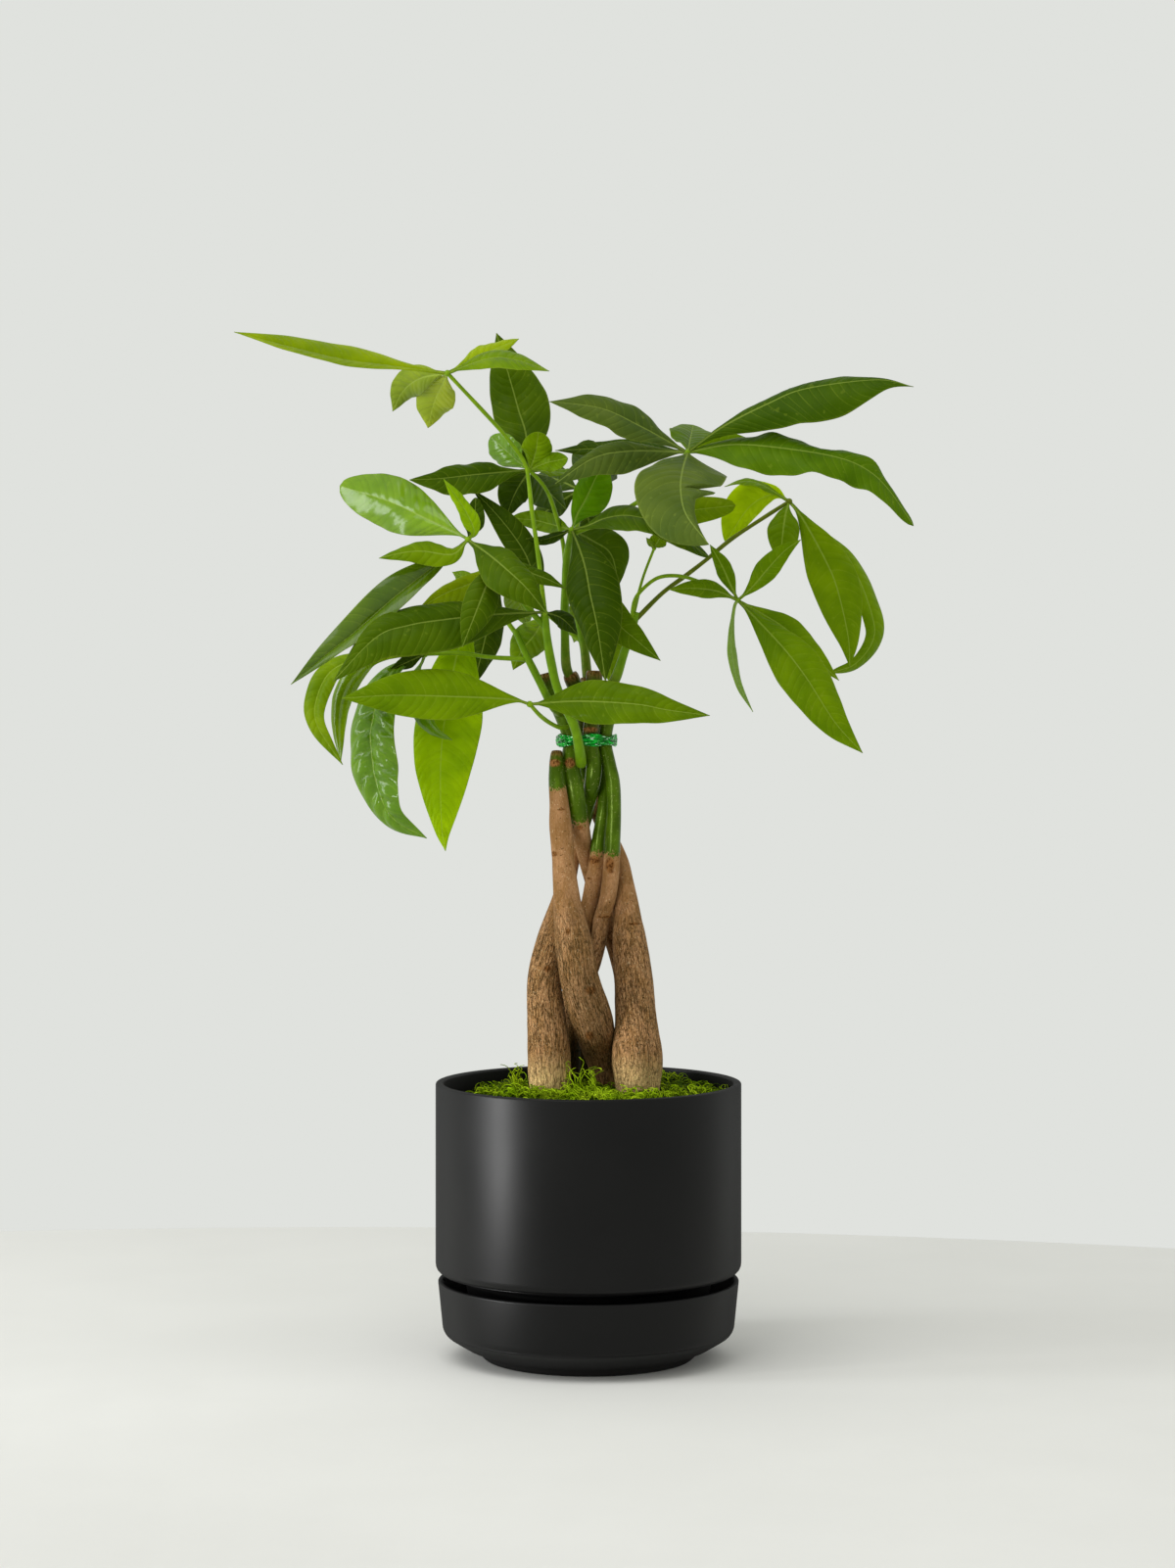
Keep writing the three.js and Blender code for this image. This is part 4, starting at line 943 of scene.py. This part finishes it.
def shoot_piece(name, leaves, stalks, seed):
    """One shoot as one piece: its main stalks, then each leaf with its stalk, hub and blades."""
    builder = Builder()
    for route, radius in stalks:
        stalk(builder, route, radius, "shoot", 0.0 if name == GREEN_FOOTED else WOODY_FOOT)
    for i, leaf in enumerate(leaves):
        route = [*leaf["stalk"], leaf["hub"]]
        radius = leaf.get("radius", STALK_RADIUS)
        tone = leaf.get("stalk_tone", "leaf")
        stalk(builder, route, radius, tone)
        before, end = seen(route[-2:])
        hub_ball(builder, leaf["hub"], unit(end - before), min(HUB_RADIUS, radius[1] * 1.7), tone)
        for j, parts in enumerate(leaf["leaflets"]):
            blade(builder, leaf["hub"], parts, seed * 1000 + i * 20 + j)
    dress(builder.object(name + "_fine", SHOOT_MATERIALS), name)


# Stems

STEM_SIDES = 48
STEM_SPACING = 1.2
LUMP_SHARE = 0.035
FURROW_DEPTH = 0.2
# Down in the view, where the bark starts to be rough, or pale, and where it is so in full.
ROUGH_FROM, ROUGH_FULL = 880, 1000
PALE_FROM, PALE_FULL = 1072, 1112
# The stems whose feet are pale.
PALE_FOOTED = ("stem_left", "stem_right")
# Painted shade low on the stems that stand behind or among the others: down in the view where it begins and
# is full, and how strong.
SHADED = {
    "stem_green": (1032, 1072, 1), "stem_rear": (1032, 1072, 1), "stem_middle": (1032, 1072, 1),
    "stem_front": (900, 1040, 0.3),
}
# How dark a stem is above, how worn it is at its cut top, and how far down that reaches.
TOP_DARK = 0.6
STUB_WORN = 0.55
STUB_LENGTH = 6
# How far down in the view the bark takes to turn from green to brown.
GREEN_FADE = 36
# For each stem, down in the view, where its bark turns green above and where it darkens above.
STEM_GREEN = {
    "stem_front": (806, 773), "stem_left": (850, 752), "stem_right": (800, 752),
    "stem_green": (872, 735), "stem_rear": (870, 700), "stem_middle": (837, 700),
}
# Scars on the stems' fronts: across, down, half width, half height, and how far each stands out.
SCARS = {
    "stem_front": [(603, 1011, 6, 4.5, 0.5), (602, 1057, 5, 5, 0.5), (566, 779, 7, 4.5, 0.3),
                   (580, 951, 3, 4, 0.3), (566, 872, 4, 3, 0.3), (573, 826, 5, 1.5, 0.2)],
    "stem_left": [(559, 989, 4, 4, 0.4), (603, 745, 9, 3, 0.2)],
    "stem_right": [(647, 943, 9, 1.6, 0.5)],
    "stem_green": [(623, 883, 5, 9, 0.2), (618, 936, 12, 1.3, 0.6), (623, 891, 6, 1.2, 0.4)],
    "stem_rear": [(607, 878, 7, 5, 0.3), (602, 897, 8, 0.9, 0.3)],
    "stem_middle": [(582, 779, 6, 6, 0.5), (592, 845, 4, 3, 0.3)],
}


def pictured(places):
    """Across and down in the view for places in millimetres."""
    scale = (EYE_DISTANCE + places[..., 1]) / VIEW_LENGTH
    return places[..., 0] / scale + AXIS_ACROSS, EYE_DOWN + (EYE_HEIGHT - places[..., 2]) / scale


def scar_marks(scars, places, facing):
    """How scarred each place on a stem is, and how far it stands out, from its marks."""
    across, down = pictured(places)
    scarred, proud = np.zeros(facing.shape), np.zeros(facing.shape)
    for x, y, half_width, half_height, out in scars:
        near = np.exp(-(((across - x) / half_width) ** 2) - ((down - y) / half_height) ** 2)
        near = near * np.clip(facing * 3, 0, 1)
        scarred = np.maximum(scarred, near)
        proud += out * near
    return scarred, proud


def stem_values(name, down, length, scar):
    """How green, rough, pale, dark and scarred a stem's bark is at each point; dark is darker near the top
    plus painted shade low on shaded stems.
    """
    green_above, dark_above = STEM_GREEN[name]
    shade_from, shade_full, shade = SHADED.get(name, (0, 1, 0))
    worn_top = STUB_WORN * np.clip(1 - length / STUB_LENGTH, 0, 1) ** 0.4
    values = {
        "green": np.clip((green_above - down) / GREEN_FADE + 0.5, 0, 1),
        "rough": smooth(down, ROUGH_FROM, ROUGH_FULL),
        "pale": smooth(down, PALE_FROM, PALE_FULL) * (name in PALE_FOOTED),
        # Dark: darker near the top, plus painted shade low on the stems in SHADED.
        "dark": TOP_DARK * smooth(dark_above - down, -3, 5) + shade * smooth(down, shade_from, shade_full),
        "scar": np.maximum(scar, worn_top),
    }
    return {key: np.broadcast_to(value, scar.shape).ravel() for key, value in values.items()}


def stem_piece(name, route, seed):
    """One stem: a tube of bark along its route, lumpy, furrowed below and scarred in front."""
    places = np.array(route, float)
    centres = seen(places[:, :3])
    rows = int(lengths_along(centres)[-1] / STEM_SPACING)
    knots = evened(centres, np.linspace(0, 1, rows))
    line = catmull(centres, knots)
    down = catmull(places[:, 1:2], knots)
    radii = catmull(places[:, 3:4], knots) * VIEW_SCALE
    angle = round_angles(STEM_SIDES)
    ways = ways_out(line, angle)
    turn = np.stack([np.cos(angle), np.sin(angle)], -1)[None]
    length = np.broadcast_to((np.arange(rows) * STEM_SPACING)[:, None], (rows, STEM_SIDES))
    grain = np.concatenate([turn * radii[..., None], length[..., None]], -1)
    lumps = bump_noise(grain * [0.12, 0.12, 0.09], seed) * LUMP_SHARE * radii
    rough = smooth(down, ROUGH_FROM, ROUGH_FULL)
    furrows = bump_noise(grain * [0.55, 0.55, 0.1], seed + 50) * FURROW_DEPTH * rough
    scar, proud = scar_marks(SCARS[name], line[:, None] + ways * radii[..., None], -ways[..., 1])
    out = (radii + lumps + furrows + proud) * cut_end(rows)[:, None]
    values = stem_values(name, down, length, scar)
    values["grain"] = grain.reshape(-1, 3) + seed * 13.0
    builder = Builder()
    builder.add_closed(line[:, None] + ways * out[..., None], line[[0, -1]], **values)
    dress(builder.object(name + "_bark", [BARK]), name)


def cut_end(rows):
    """Draws the first rings in a little, for the worn edge of the cut top."""
    share = np.ones(rows)
    share[:2] = 0.86, 0.97
    return share


# Pot and saucer

LATHE_SIDES = 144
ARC_POINTS = 6


def rounded(profile, bevel):
    """The profile with each inner corner that has a bevel turned into a short arc."""
    points = []
    for i, (r, z) in enumerate(profile):
        size = bevel.get(i, 0)
        if not size:
            points.append((r, z))
            continue
        here = np.array([r, z], float)
        before = unit(np.array(profile[i - 1], float) - here) * size
        after = unit(np.array(profile[(i + 1) % len(profile)], float) - here) * size
        for s in np.linspace(0, 1, ARC_POINTS):
            points.append(tuple(here + before * (1 - s) ** 2 + after * s**2))
    return points


def lathe(name, profile, material):
    """A piece turned round the upright axis from a closed profile of radii and heights."""
    profile = np.array(profile, float)
    angle = round_angles(LATHE_SIDES)
    r, z = profile[:, :1], profile[:, 1:]
    builder = Builder()
    builder.add_ring(np.stack([r * np.cos(angle), r * np.sin(angle), z + 0 * angle], -1))
    return builder.object(name, [material])


POT_WALL = 4.3
POT_TOP = 148.3
POT_FOOT = 9.6
POT_STRAIGHT_FROM = 51
POT_FOOT_RADIUS = 60
POT_FOOT_FLARE = 7
DRAIN_RADIUS = 7
SAUCER_RADIUS = 81.2
SAUCER_WALL = 2.6
SAUCER_HEIGHT = 42
SAUCER_FLOOR = 9.3
SAUCER_FOOT_RADIUS = 56
AXIS_RADIUS = 0.2


def pot_piece():
    """The pot: a straight wall over a narrower foot that stands in the saucer."""
    outer = POT_DIAMETER / 2
    inner = outer - POT_WALL
    shoulder = POT_STRAIGHT_FROM - POT_WALL
    low = POT_FOOT_RADIUS + POT_FOOT_FLARE
    profile = [
        (DRAIN_RADIUS, POT_FOOT), (POT_FOOT_RADIUS, POT_FOOT), (low, shoulder - 3), (outer - 4, shoulder),
        (outer, shoulder + 0.4), (outer, POT_TOP), (inner, POT_TOP), (inner, POT_STRAIGHT_FROM + 1.5),
        (low - POT_WALL, shoulder + 2), (POT_FOOT_RADIUS - POT_WALL, POT_FOOT + POT_WALL),
        (DRAIN_RADIUS, POT_FOOT + POT_WALL),
    ]
    bevel = {1: 2, 2: 2, 3: 1.5, 4: 4.5, 5: 1.1, 6: 1.3, 7: 3, 8: 2, 9: 2}
    dress(lathe("pot_shell", rounded(profile, bevel), BLACK_PLASTIC), "pot")


def saucer_piece():
    """The saucer: a deep wall on a narrower foot."""
    r = SAUCER_RADIUS
    inner = r - SAUCER_WALL
    profile = [
        (AXIS_RADIUS, 0), (SAUCER_FOOT_RADIUS, 0), (SAUCER_FOOT_RADIUS + 5, 5), (r - 16, 6), (r - 4.5, 13),
        (inner, 16), (r, SAUCER_HEIGHT), (inner, SAUCER_HEIGHT), (r - 6, 17), (r - 17, SAUCER_FLOOR),
        (AXIS_RADIUS, SAUCER_FLOOR),
    ]
    bevel = {1: 1.5, 2: 1.2, 3: 3, 4: 1.7, 5: 1.9, 6: 0.9, 7: 0.9, 8: 5, 9: 4}
    dress(lathe("saucer_shell", rounded(profile, bevel), BLACK_PLASTIC), "saucer")


# Soil and moss

SOIL_TOP = 136
SOIL_RADIUS = 77.9
SOIL_EDGE_FLOOR = POT_STRAIGHT_FROM + 9
SOIL_FLOOR = POT_FOOT + POT_WALL + 2
SOIL_GRID = (70, 160)
MOSS_TOP = 145
MOSS_FLOOR = SOIL_TOP + 0.3
MOSS_GRID = (70, 220)
MOSS_RADIUS = 67
MOSS_CENTRE_X = 5
# The innermost ring of a mat, as a share of its reach.
INNER_RING = 0.002


def disc(name, material, centre_x, reach, height, floor, grid, shade=None, heart=None):
    """A round mat, its top at height(x, y, share) and its underside flat or a cone down to heart."""
    rings, sides = grid
    angle = round_angles(sides)
    share = np.linspace(0, 1, rings + 1)[:, None]
    share[0] = INNER_RING
    r = reach(angle)[None, :] * share
    x, y = centre_x + r * np.cos(angle), r * np.sin(angle)
    top = height(x, y, share)
    under = np.stack([x[-1], y[-1], np.full(sides, floor)], -1)[None]
    ends = [[centre_x, 0, top[0, 0]], [centre_x, 0, floor if heart is None else heart]]
    values = {}
    # The mat's light value, with its painted light and shade.
    if shade:
        values["light"] = np.concatenate([shade(x, y), np.zeros((1, sides))]).ravel()
    builder = Builder()
    builder.add_closed(np.concatenate([np.stack([x, y, top], -1), under]), ends, flip=True, **values)
    return builder.object(name, [material])


def flat_place(x, y):
    """Points at height 0, for a pattern that doesn't change with height."""
    return np.stack([x, y, np.zeros_like(x)], -1)


def soil_height(x, y, share):
    """The soil's surface, with lumps and crumbs."""
    place = flat_place(x, y)
    return SOIL_TOP + 0.9 * bump_noise(place * 0.35, 3) + 0.5 * bump_noise(place * 1.1, 4)


def soil_reach(angle):
    """How far the soil reaches from its centre, the same all round."""
    return np.full_like(angle, SOIL_RADIUS)


def soil_piece():
    """The soil, a round bed that narrows to a point low in the pot."""
    bed = disc("soil_bed", SOIL, 0, soil_reach, soil_height, SOIL_EDGE_FLOOR, SOIL_GRID, heart=SOIL_FLOOR)
    dress(bed, "soil")


def moss_clumps(x, y):
    """How clumped the moss is, from -1 to 1."""
    return bump_noise(flat_place(x, y) * 0.3, 5)


def moss_height(x, y, share):
    """The mat's surface: broad waves, clumps and fuzz, drawn down at its edge."""
    broad = np.sin(x * 0.21 + 1) * np.cos(y * 0.24) + 0.6 * np.sin(x * 0.43 + y * 0.37)
    fine = 1.3 * moss_clumps(x, y) + 0.5 * bump_noise(flat_place(x, y) * 1.3, 6)
    return MOSS_TOP + 1.5 * broad + fine - 3.5 * share**6


def moss_painted_shade(x):
    """Painted shade on the moss across the pot: full light in the middle, painted shade at its far left and a
    little at its right.
    """
    return (0.35 + 0.65 * smooth(x, -62, -34)) * (1 - 0.15 * smooth(x, 24, 44))


def moss_painted_light(x, y):
    """How light the mat's green is at each place: painted light on its clumps, painted shade between them and
    across the pot.
    """
    return 0.42 * smooth(moss_clumps(x, y), -0.1, 0.8) * moss_painted_shade(x)


def moss_reach(angle):
    """How far the mat reaches from its centre, in waves round its edge."""
    return MOSS_RADIUS + 2.5 * np.sin(angle * 5 + 1) + 1.2 * np.sin(angle * 13)


STRAND_COUNT = 3300
# How far out on the mat the tufts' feet are taken to be, as a share of its reach.
TUFT_SHARE = 0.5
STRAND_STEPS = 8
STRAND_RADIUS = 0.44
# How much a strand, and a long thread, bends down at each step, from least to most.
DROOP = (0.15, 0.5)
LONG_DROOP = (-0.05, 0.24)
# Taller tufts of moss: across, millimetres behind the trunk, spread in millimetres, and strands.
TUFTS = [
    (600, -34, 7, 70), (580, -30, 5, 40), (622, -32, 5, 45), (566, -42, 6, 40), (545, -30, 6, 30),
    (640, -46, 8, 40), (690, -30, 9, 50), (520, -38, 8, 40), (716, -12, 7, 30), (500, -14, 6, 30),
    (660, -52, 8, 40), (536, 6, 4, 14), (610, -52, 10, 50), (600, 40, 20, 60), (680, 40, 14, 40),
    (550, -45, 6, 70), (584, -46, 7, 70), (630, -54, 6, 40), (534, -30, 5, 30),
]
# Long loose threads of moss: across, millimetres behind the trunk, spread in millimetres, and threads.
WISPS = [(528, -2, 2.5, 9), (578, -20, 3, 8), (590, -26, 3, 7), (606, -30, 4, 9)]


def strand(builder, draw, start, share, steps, rise, radius, light, droop=DROOP):
    """One curly thread of moss that starts in the mat and wanders over it."""
    x, y = start
    z = float(moss_height(np.array([x]), np.array([y]), min(share, 1))[0]) - 0.6
    heading = draw.uniform(0, 2 * np.pi)
    curl = draw.normal(0, 0.7)
    step = draw.uniform(0.8, 1.5)
    points = [(x, y, z)]
    for _ in range(steps - 1):
        heading += curl + draw.normal(0, 0.3)
        rise -= draw.uniform(*droop)
        x += math.cos(heading) * math.cos(rise) * step
        y += math.sin(heading) * math.cos(rise) * step
        z += math.sin(rise) * step
        points.append((x, y, z))
    points = np.array(points)
    far = np.hypot(points[:, 0], points[:, 1])
    points[:, :2] *= np.minimum(1, (SOIL_RADIUS - 0.6) / np.maximum(far, 1e-6))[:, None]
    points[:, 2] = np.maximum(points[:, 2], SOIL_TOP + 1)
    tube(builder, points, np.linspace(radius, radius / 2.6, steps), 3, 0, light=np.full(steps, light))


def mat_strand(builder, draw):
    """A short strand anywhere on the mat, taller where the mat is clumped, with painted light there and
    painted shade across the pot on its random tone.
    """
    angle = draw.uniform(0, 2 * np.pi)
    share = math.sqrt(draw.uniform(0, 1)) * 1.04
    reach = float(moss_reach(np.array([angle]))[0]) * share
    start = (MOSS_CENTRE_X + math.cos(angle) * reach, math.sin(angle) * reach)
    clump = float(smooth(moss_clumps(np.array(start[0]), np.array(start[1])), -0.4, 0.5))
    # A random tone, with painted light on clumps and painted shade across the pot.
    light = (0.15 + 0.85 * draw.uniform(0, 1) ** 1.3) * (0.3 + 0.7 * clump) * float(moss_painted_shade(start[0]))
    rise = draw.uniform(0.2, 0.9 + 0.9 * clump)
    strand(builder, draw, start, share, STRAND_STEPS, rise, STRAND_RADIUS, light)


def tufts(builder, draw, rows, least_light, rise, steps, radius, droop=DROOP):
    """Strands that rise round each row's place."""
    for across, behind, spread, count in rows:
        x = float(seen([across, GROUND_DOWN, behind])[0])
        for _ in range(count):
            start = draw.normal((x, behind), spread / 2)
            light = draw.uniform(least_light, 1)
            strand(builder, draw, start, TUFT_SHARE, steps, draw.uniform(*rise), radius, light, droop)


def moss_piece():
    """The mat, the short strands all over it, and the taller tufts with a few long threads."""
    mat = disc("moss_mat", MOSS, MOSS_CENTRE_X, moss_reach, moss_height, MOSS_FLOOR, MOSS_GRID, moss_painted_light)
    dress(mat, "moss")
    draw = np.random.default_rng(11)
    strands, tall = Builder(), Builder()
    for _ in range(STRAND_COUNT):
        mat_strand(strands, draw)
    dress(strands.object("moss_strands", [MOSS]))
    tufts(tall, draw, TUFTS, least_light=0.5, rise=(1.2, 1.9), steps=10, radius=0.42)
    tufts(tall, draw, WISPS, least_light=0.55, rise=(1.5, 1.9), steps=17, radius=0.5, droop=LONG_DROOP)
    dress(tall.object("moss_tufts", [MOSS]))


# The tie

TIE_CENTRE = [599, 755.5, 2.2]
TIE_RADII = [15.2, 14.8]
TIE_BAND = 1.2
TIE_HEIGHT = 7
TIE_SIDES = 200
TIE_ROWS = 16
CREASE_DEPTH = 0.6


def tie_piece():
    """A crumpled foil band round the stems, drawn in to ropes of foil by its twists."""
    centre = seen(TIE_CENTRE)
    turn = round_angles(TIE_SIDES)[:, None]
    section = round_angles(TIE_ROWS)[None, :]
    rise = np.sign(np.sin(section)) * np.abs(np.sin(section)) ** 0.6
    crease = 0.5 * np.cos(8.5 * rise + 4 * turn) + 0.25 * np.sin(turn * 29 + 2 * rise)
    tall = TIE_HEIGHT / 2 * (0.82 + 0.18 * np.sin(turn * 5 + 2))
    z = centre[2] + tall * rise + 0.35 * np.sin(turn * 3)
    out = TIE_BAND / 2 * (1 + np.cos(section))
    out = out + CREASE_DEPTH * crease * np.clip(np.cos(section) * 2, 0, 1)
    x = centre[0] + np.cos(turn) * (TIE_RADII[0] + out)
    y = centre[1] + np.sin(turn) * (TIE_RADII[1] + out)
    round_band = np.minimum(turn, 2 * np.pi - turn) * TIE_RADII[0] + 0 * section
    foil = np.stack([round_band, z - centre[2], 1.5 * np.cos(section) + 0 * turn], -1).reshape(-1, 3)
    builder = Builder()
    builder.add_ring(np.stack([x, y, z], -1), foil=foil)
    dress(builder.object("tie_foil_band", [FOIL]), "tie")


# The stage

TABLE_RADIUS = 1650
TABLE_CENTRE = (-0.15, -1.2, 0)
TABLE_THICK = 30
TABLE_LOW = (0.745, 0.738, 0.71, 1)
TABLE_HIGH = (0.765, 0.758, 0.73, 1)


def stage_piece():
    """A pale round table top, against the pale room."""
    n = Nodes("table_white")
    cloud = n.span(n.noise(n.place(), 7, 5), 0.3, 0.7)
    n.set(Base_Color=n.mix(cloud, TABLE_LOW, TABLE_HIGH), Roughness=0.7, Specular_IOR_Level=0.2)
    r = TABLE_RADIUS
    profile = [(AXIS_RADIUS, -TABLE_THICK), (r, -TABLE_THICK), (r, 0), (AXIS_RADIUS, 0)]
    table = lathe("table_top", rounded(profile, {1: 8, 2: 8}), n.material)
    table.location = TABLE_CENTRE


# Camera and light

SENSOR = 36
ROOM = (0.745, 0.76, 0.73, 1)
WHITE = (1.0, 1.0, 1.0)
DAYLIGHT = (0.97, 1.0, 1.02)
BEAM_BLEND = 0.6


def make_camera():
    """The front view: a level camera, its frame shifted down and a little across."""
    data = bpy.data.cameras.new("photo_view")
    data.sensor_width = SENSOR
    data.lens = VIEW_LENGTH / FRAME_HEIGHT * SENSOR
    data.shift_y = -(FRAME_HEIGHT / 2 - EYE_DOWN) / FRAME_HEIGHT
    data.shift_x = -(AXIS_ACROSS - FRAME_WIDTH / 2) / FRAME_HEIGHT
    camera = bpy.data.objects.new("photo_view", data)
    camera.location = (0, -EYE_DISTANCE * MM, EYE_HEIGHT * MM)
    camera.rotation_euler = (math.pi / 2, 0, 0)
    bpy.context.scene.collection.objects.link(camera)
    bpy.context.scene.camera = camera


def aimed_light(kind, name, location, target, power, colour=WHITE):
    """A light at a location in metres that shines to its target, with its power in watts."""
    data = bpy.data.lights.new(name, kind)
    data.energy = power
    data.color = colour
    light = bpy.data.objects.new(name, data)
    light.location = location
    way = np.array(target) - np.array(location)
    flat = math.hypot(way[0], way[1])
    light.rotation_euler = (math.atan2(flat, -way[2]), 0, math.atan2(-way[0], way[1]))
    bpy.context.scene.collection.objects.link(light)
    return data


def area_light(name, location, target, power, size, colour=WHITE):
    """A rectangle of soft light, with its two sides in metres."""
    data = aimed_light("AREA", name, location, target, power, colour)
    data.shape = "RECTANGLE"
    data.size, data.size_y = size


def spot_light(name, location, target, power, degrees, softness):
    """A lamp with a round beam that is soft at its edge."""
    data = aimed_light("SPOT", name, location, target, power)
    data.spot_size = math.radians(degrees)
    data.spot_blend = BEAM_BLEND
    data.shadow_soft_size = softness


def make_light():
    """A tall window at the left, soft light from above, and two lamps on the stems and the pot."""
    area_light("window", (-1.58, -0.3, 0.53), (0, 0, 0.28), power=9, size=(0.35, 1.0), colour=DAYLIGHT)
    area_light("ceiling", (-0.7, -0.9, 1.9), (0, 0, 0.35), power=12, size=(1.4, 1.2))
    spot_light("stem_light", (-0.75, -1.3, 0.31), (0, 0, 0.3), power=22, degrees=5.5, softness=0.04)
    spot_light("pot_light", (-1.1, -0.47, 0.1), (0, 0, 0.092), power=72, degrees=9.5, softness=0.09)
    world = bpy.data.worlds.new("room")
    bpy.context.scene.world = world
    world.use_nodes = True
    background = world.node_tree.nodes["Background"]
    background.inputs["Color"].default_value = ROOM
    background.inputs["Strength"].default_value = 1.0
    bpy.context.scene.view_settings.view_transform = "Standard"


make_camera()
make_light()
stage_piece()
saucer_piece()
pot_piece()
soil_piece()
moss_piece()
for number, (stem_name, stem_route) in enumerate(STEMS.items()):
    stem_piece(stem_name, stem_route, number + 1)
tie_piece()
for number, (shoot_name, shoot_parts) in enumerate(SHOOTS.items()):
    shoot_piece(shoot_name, *shoot_parts, number + 1)
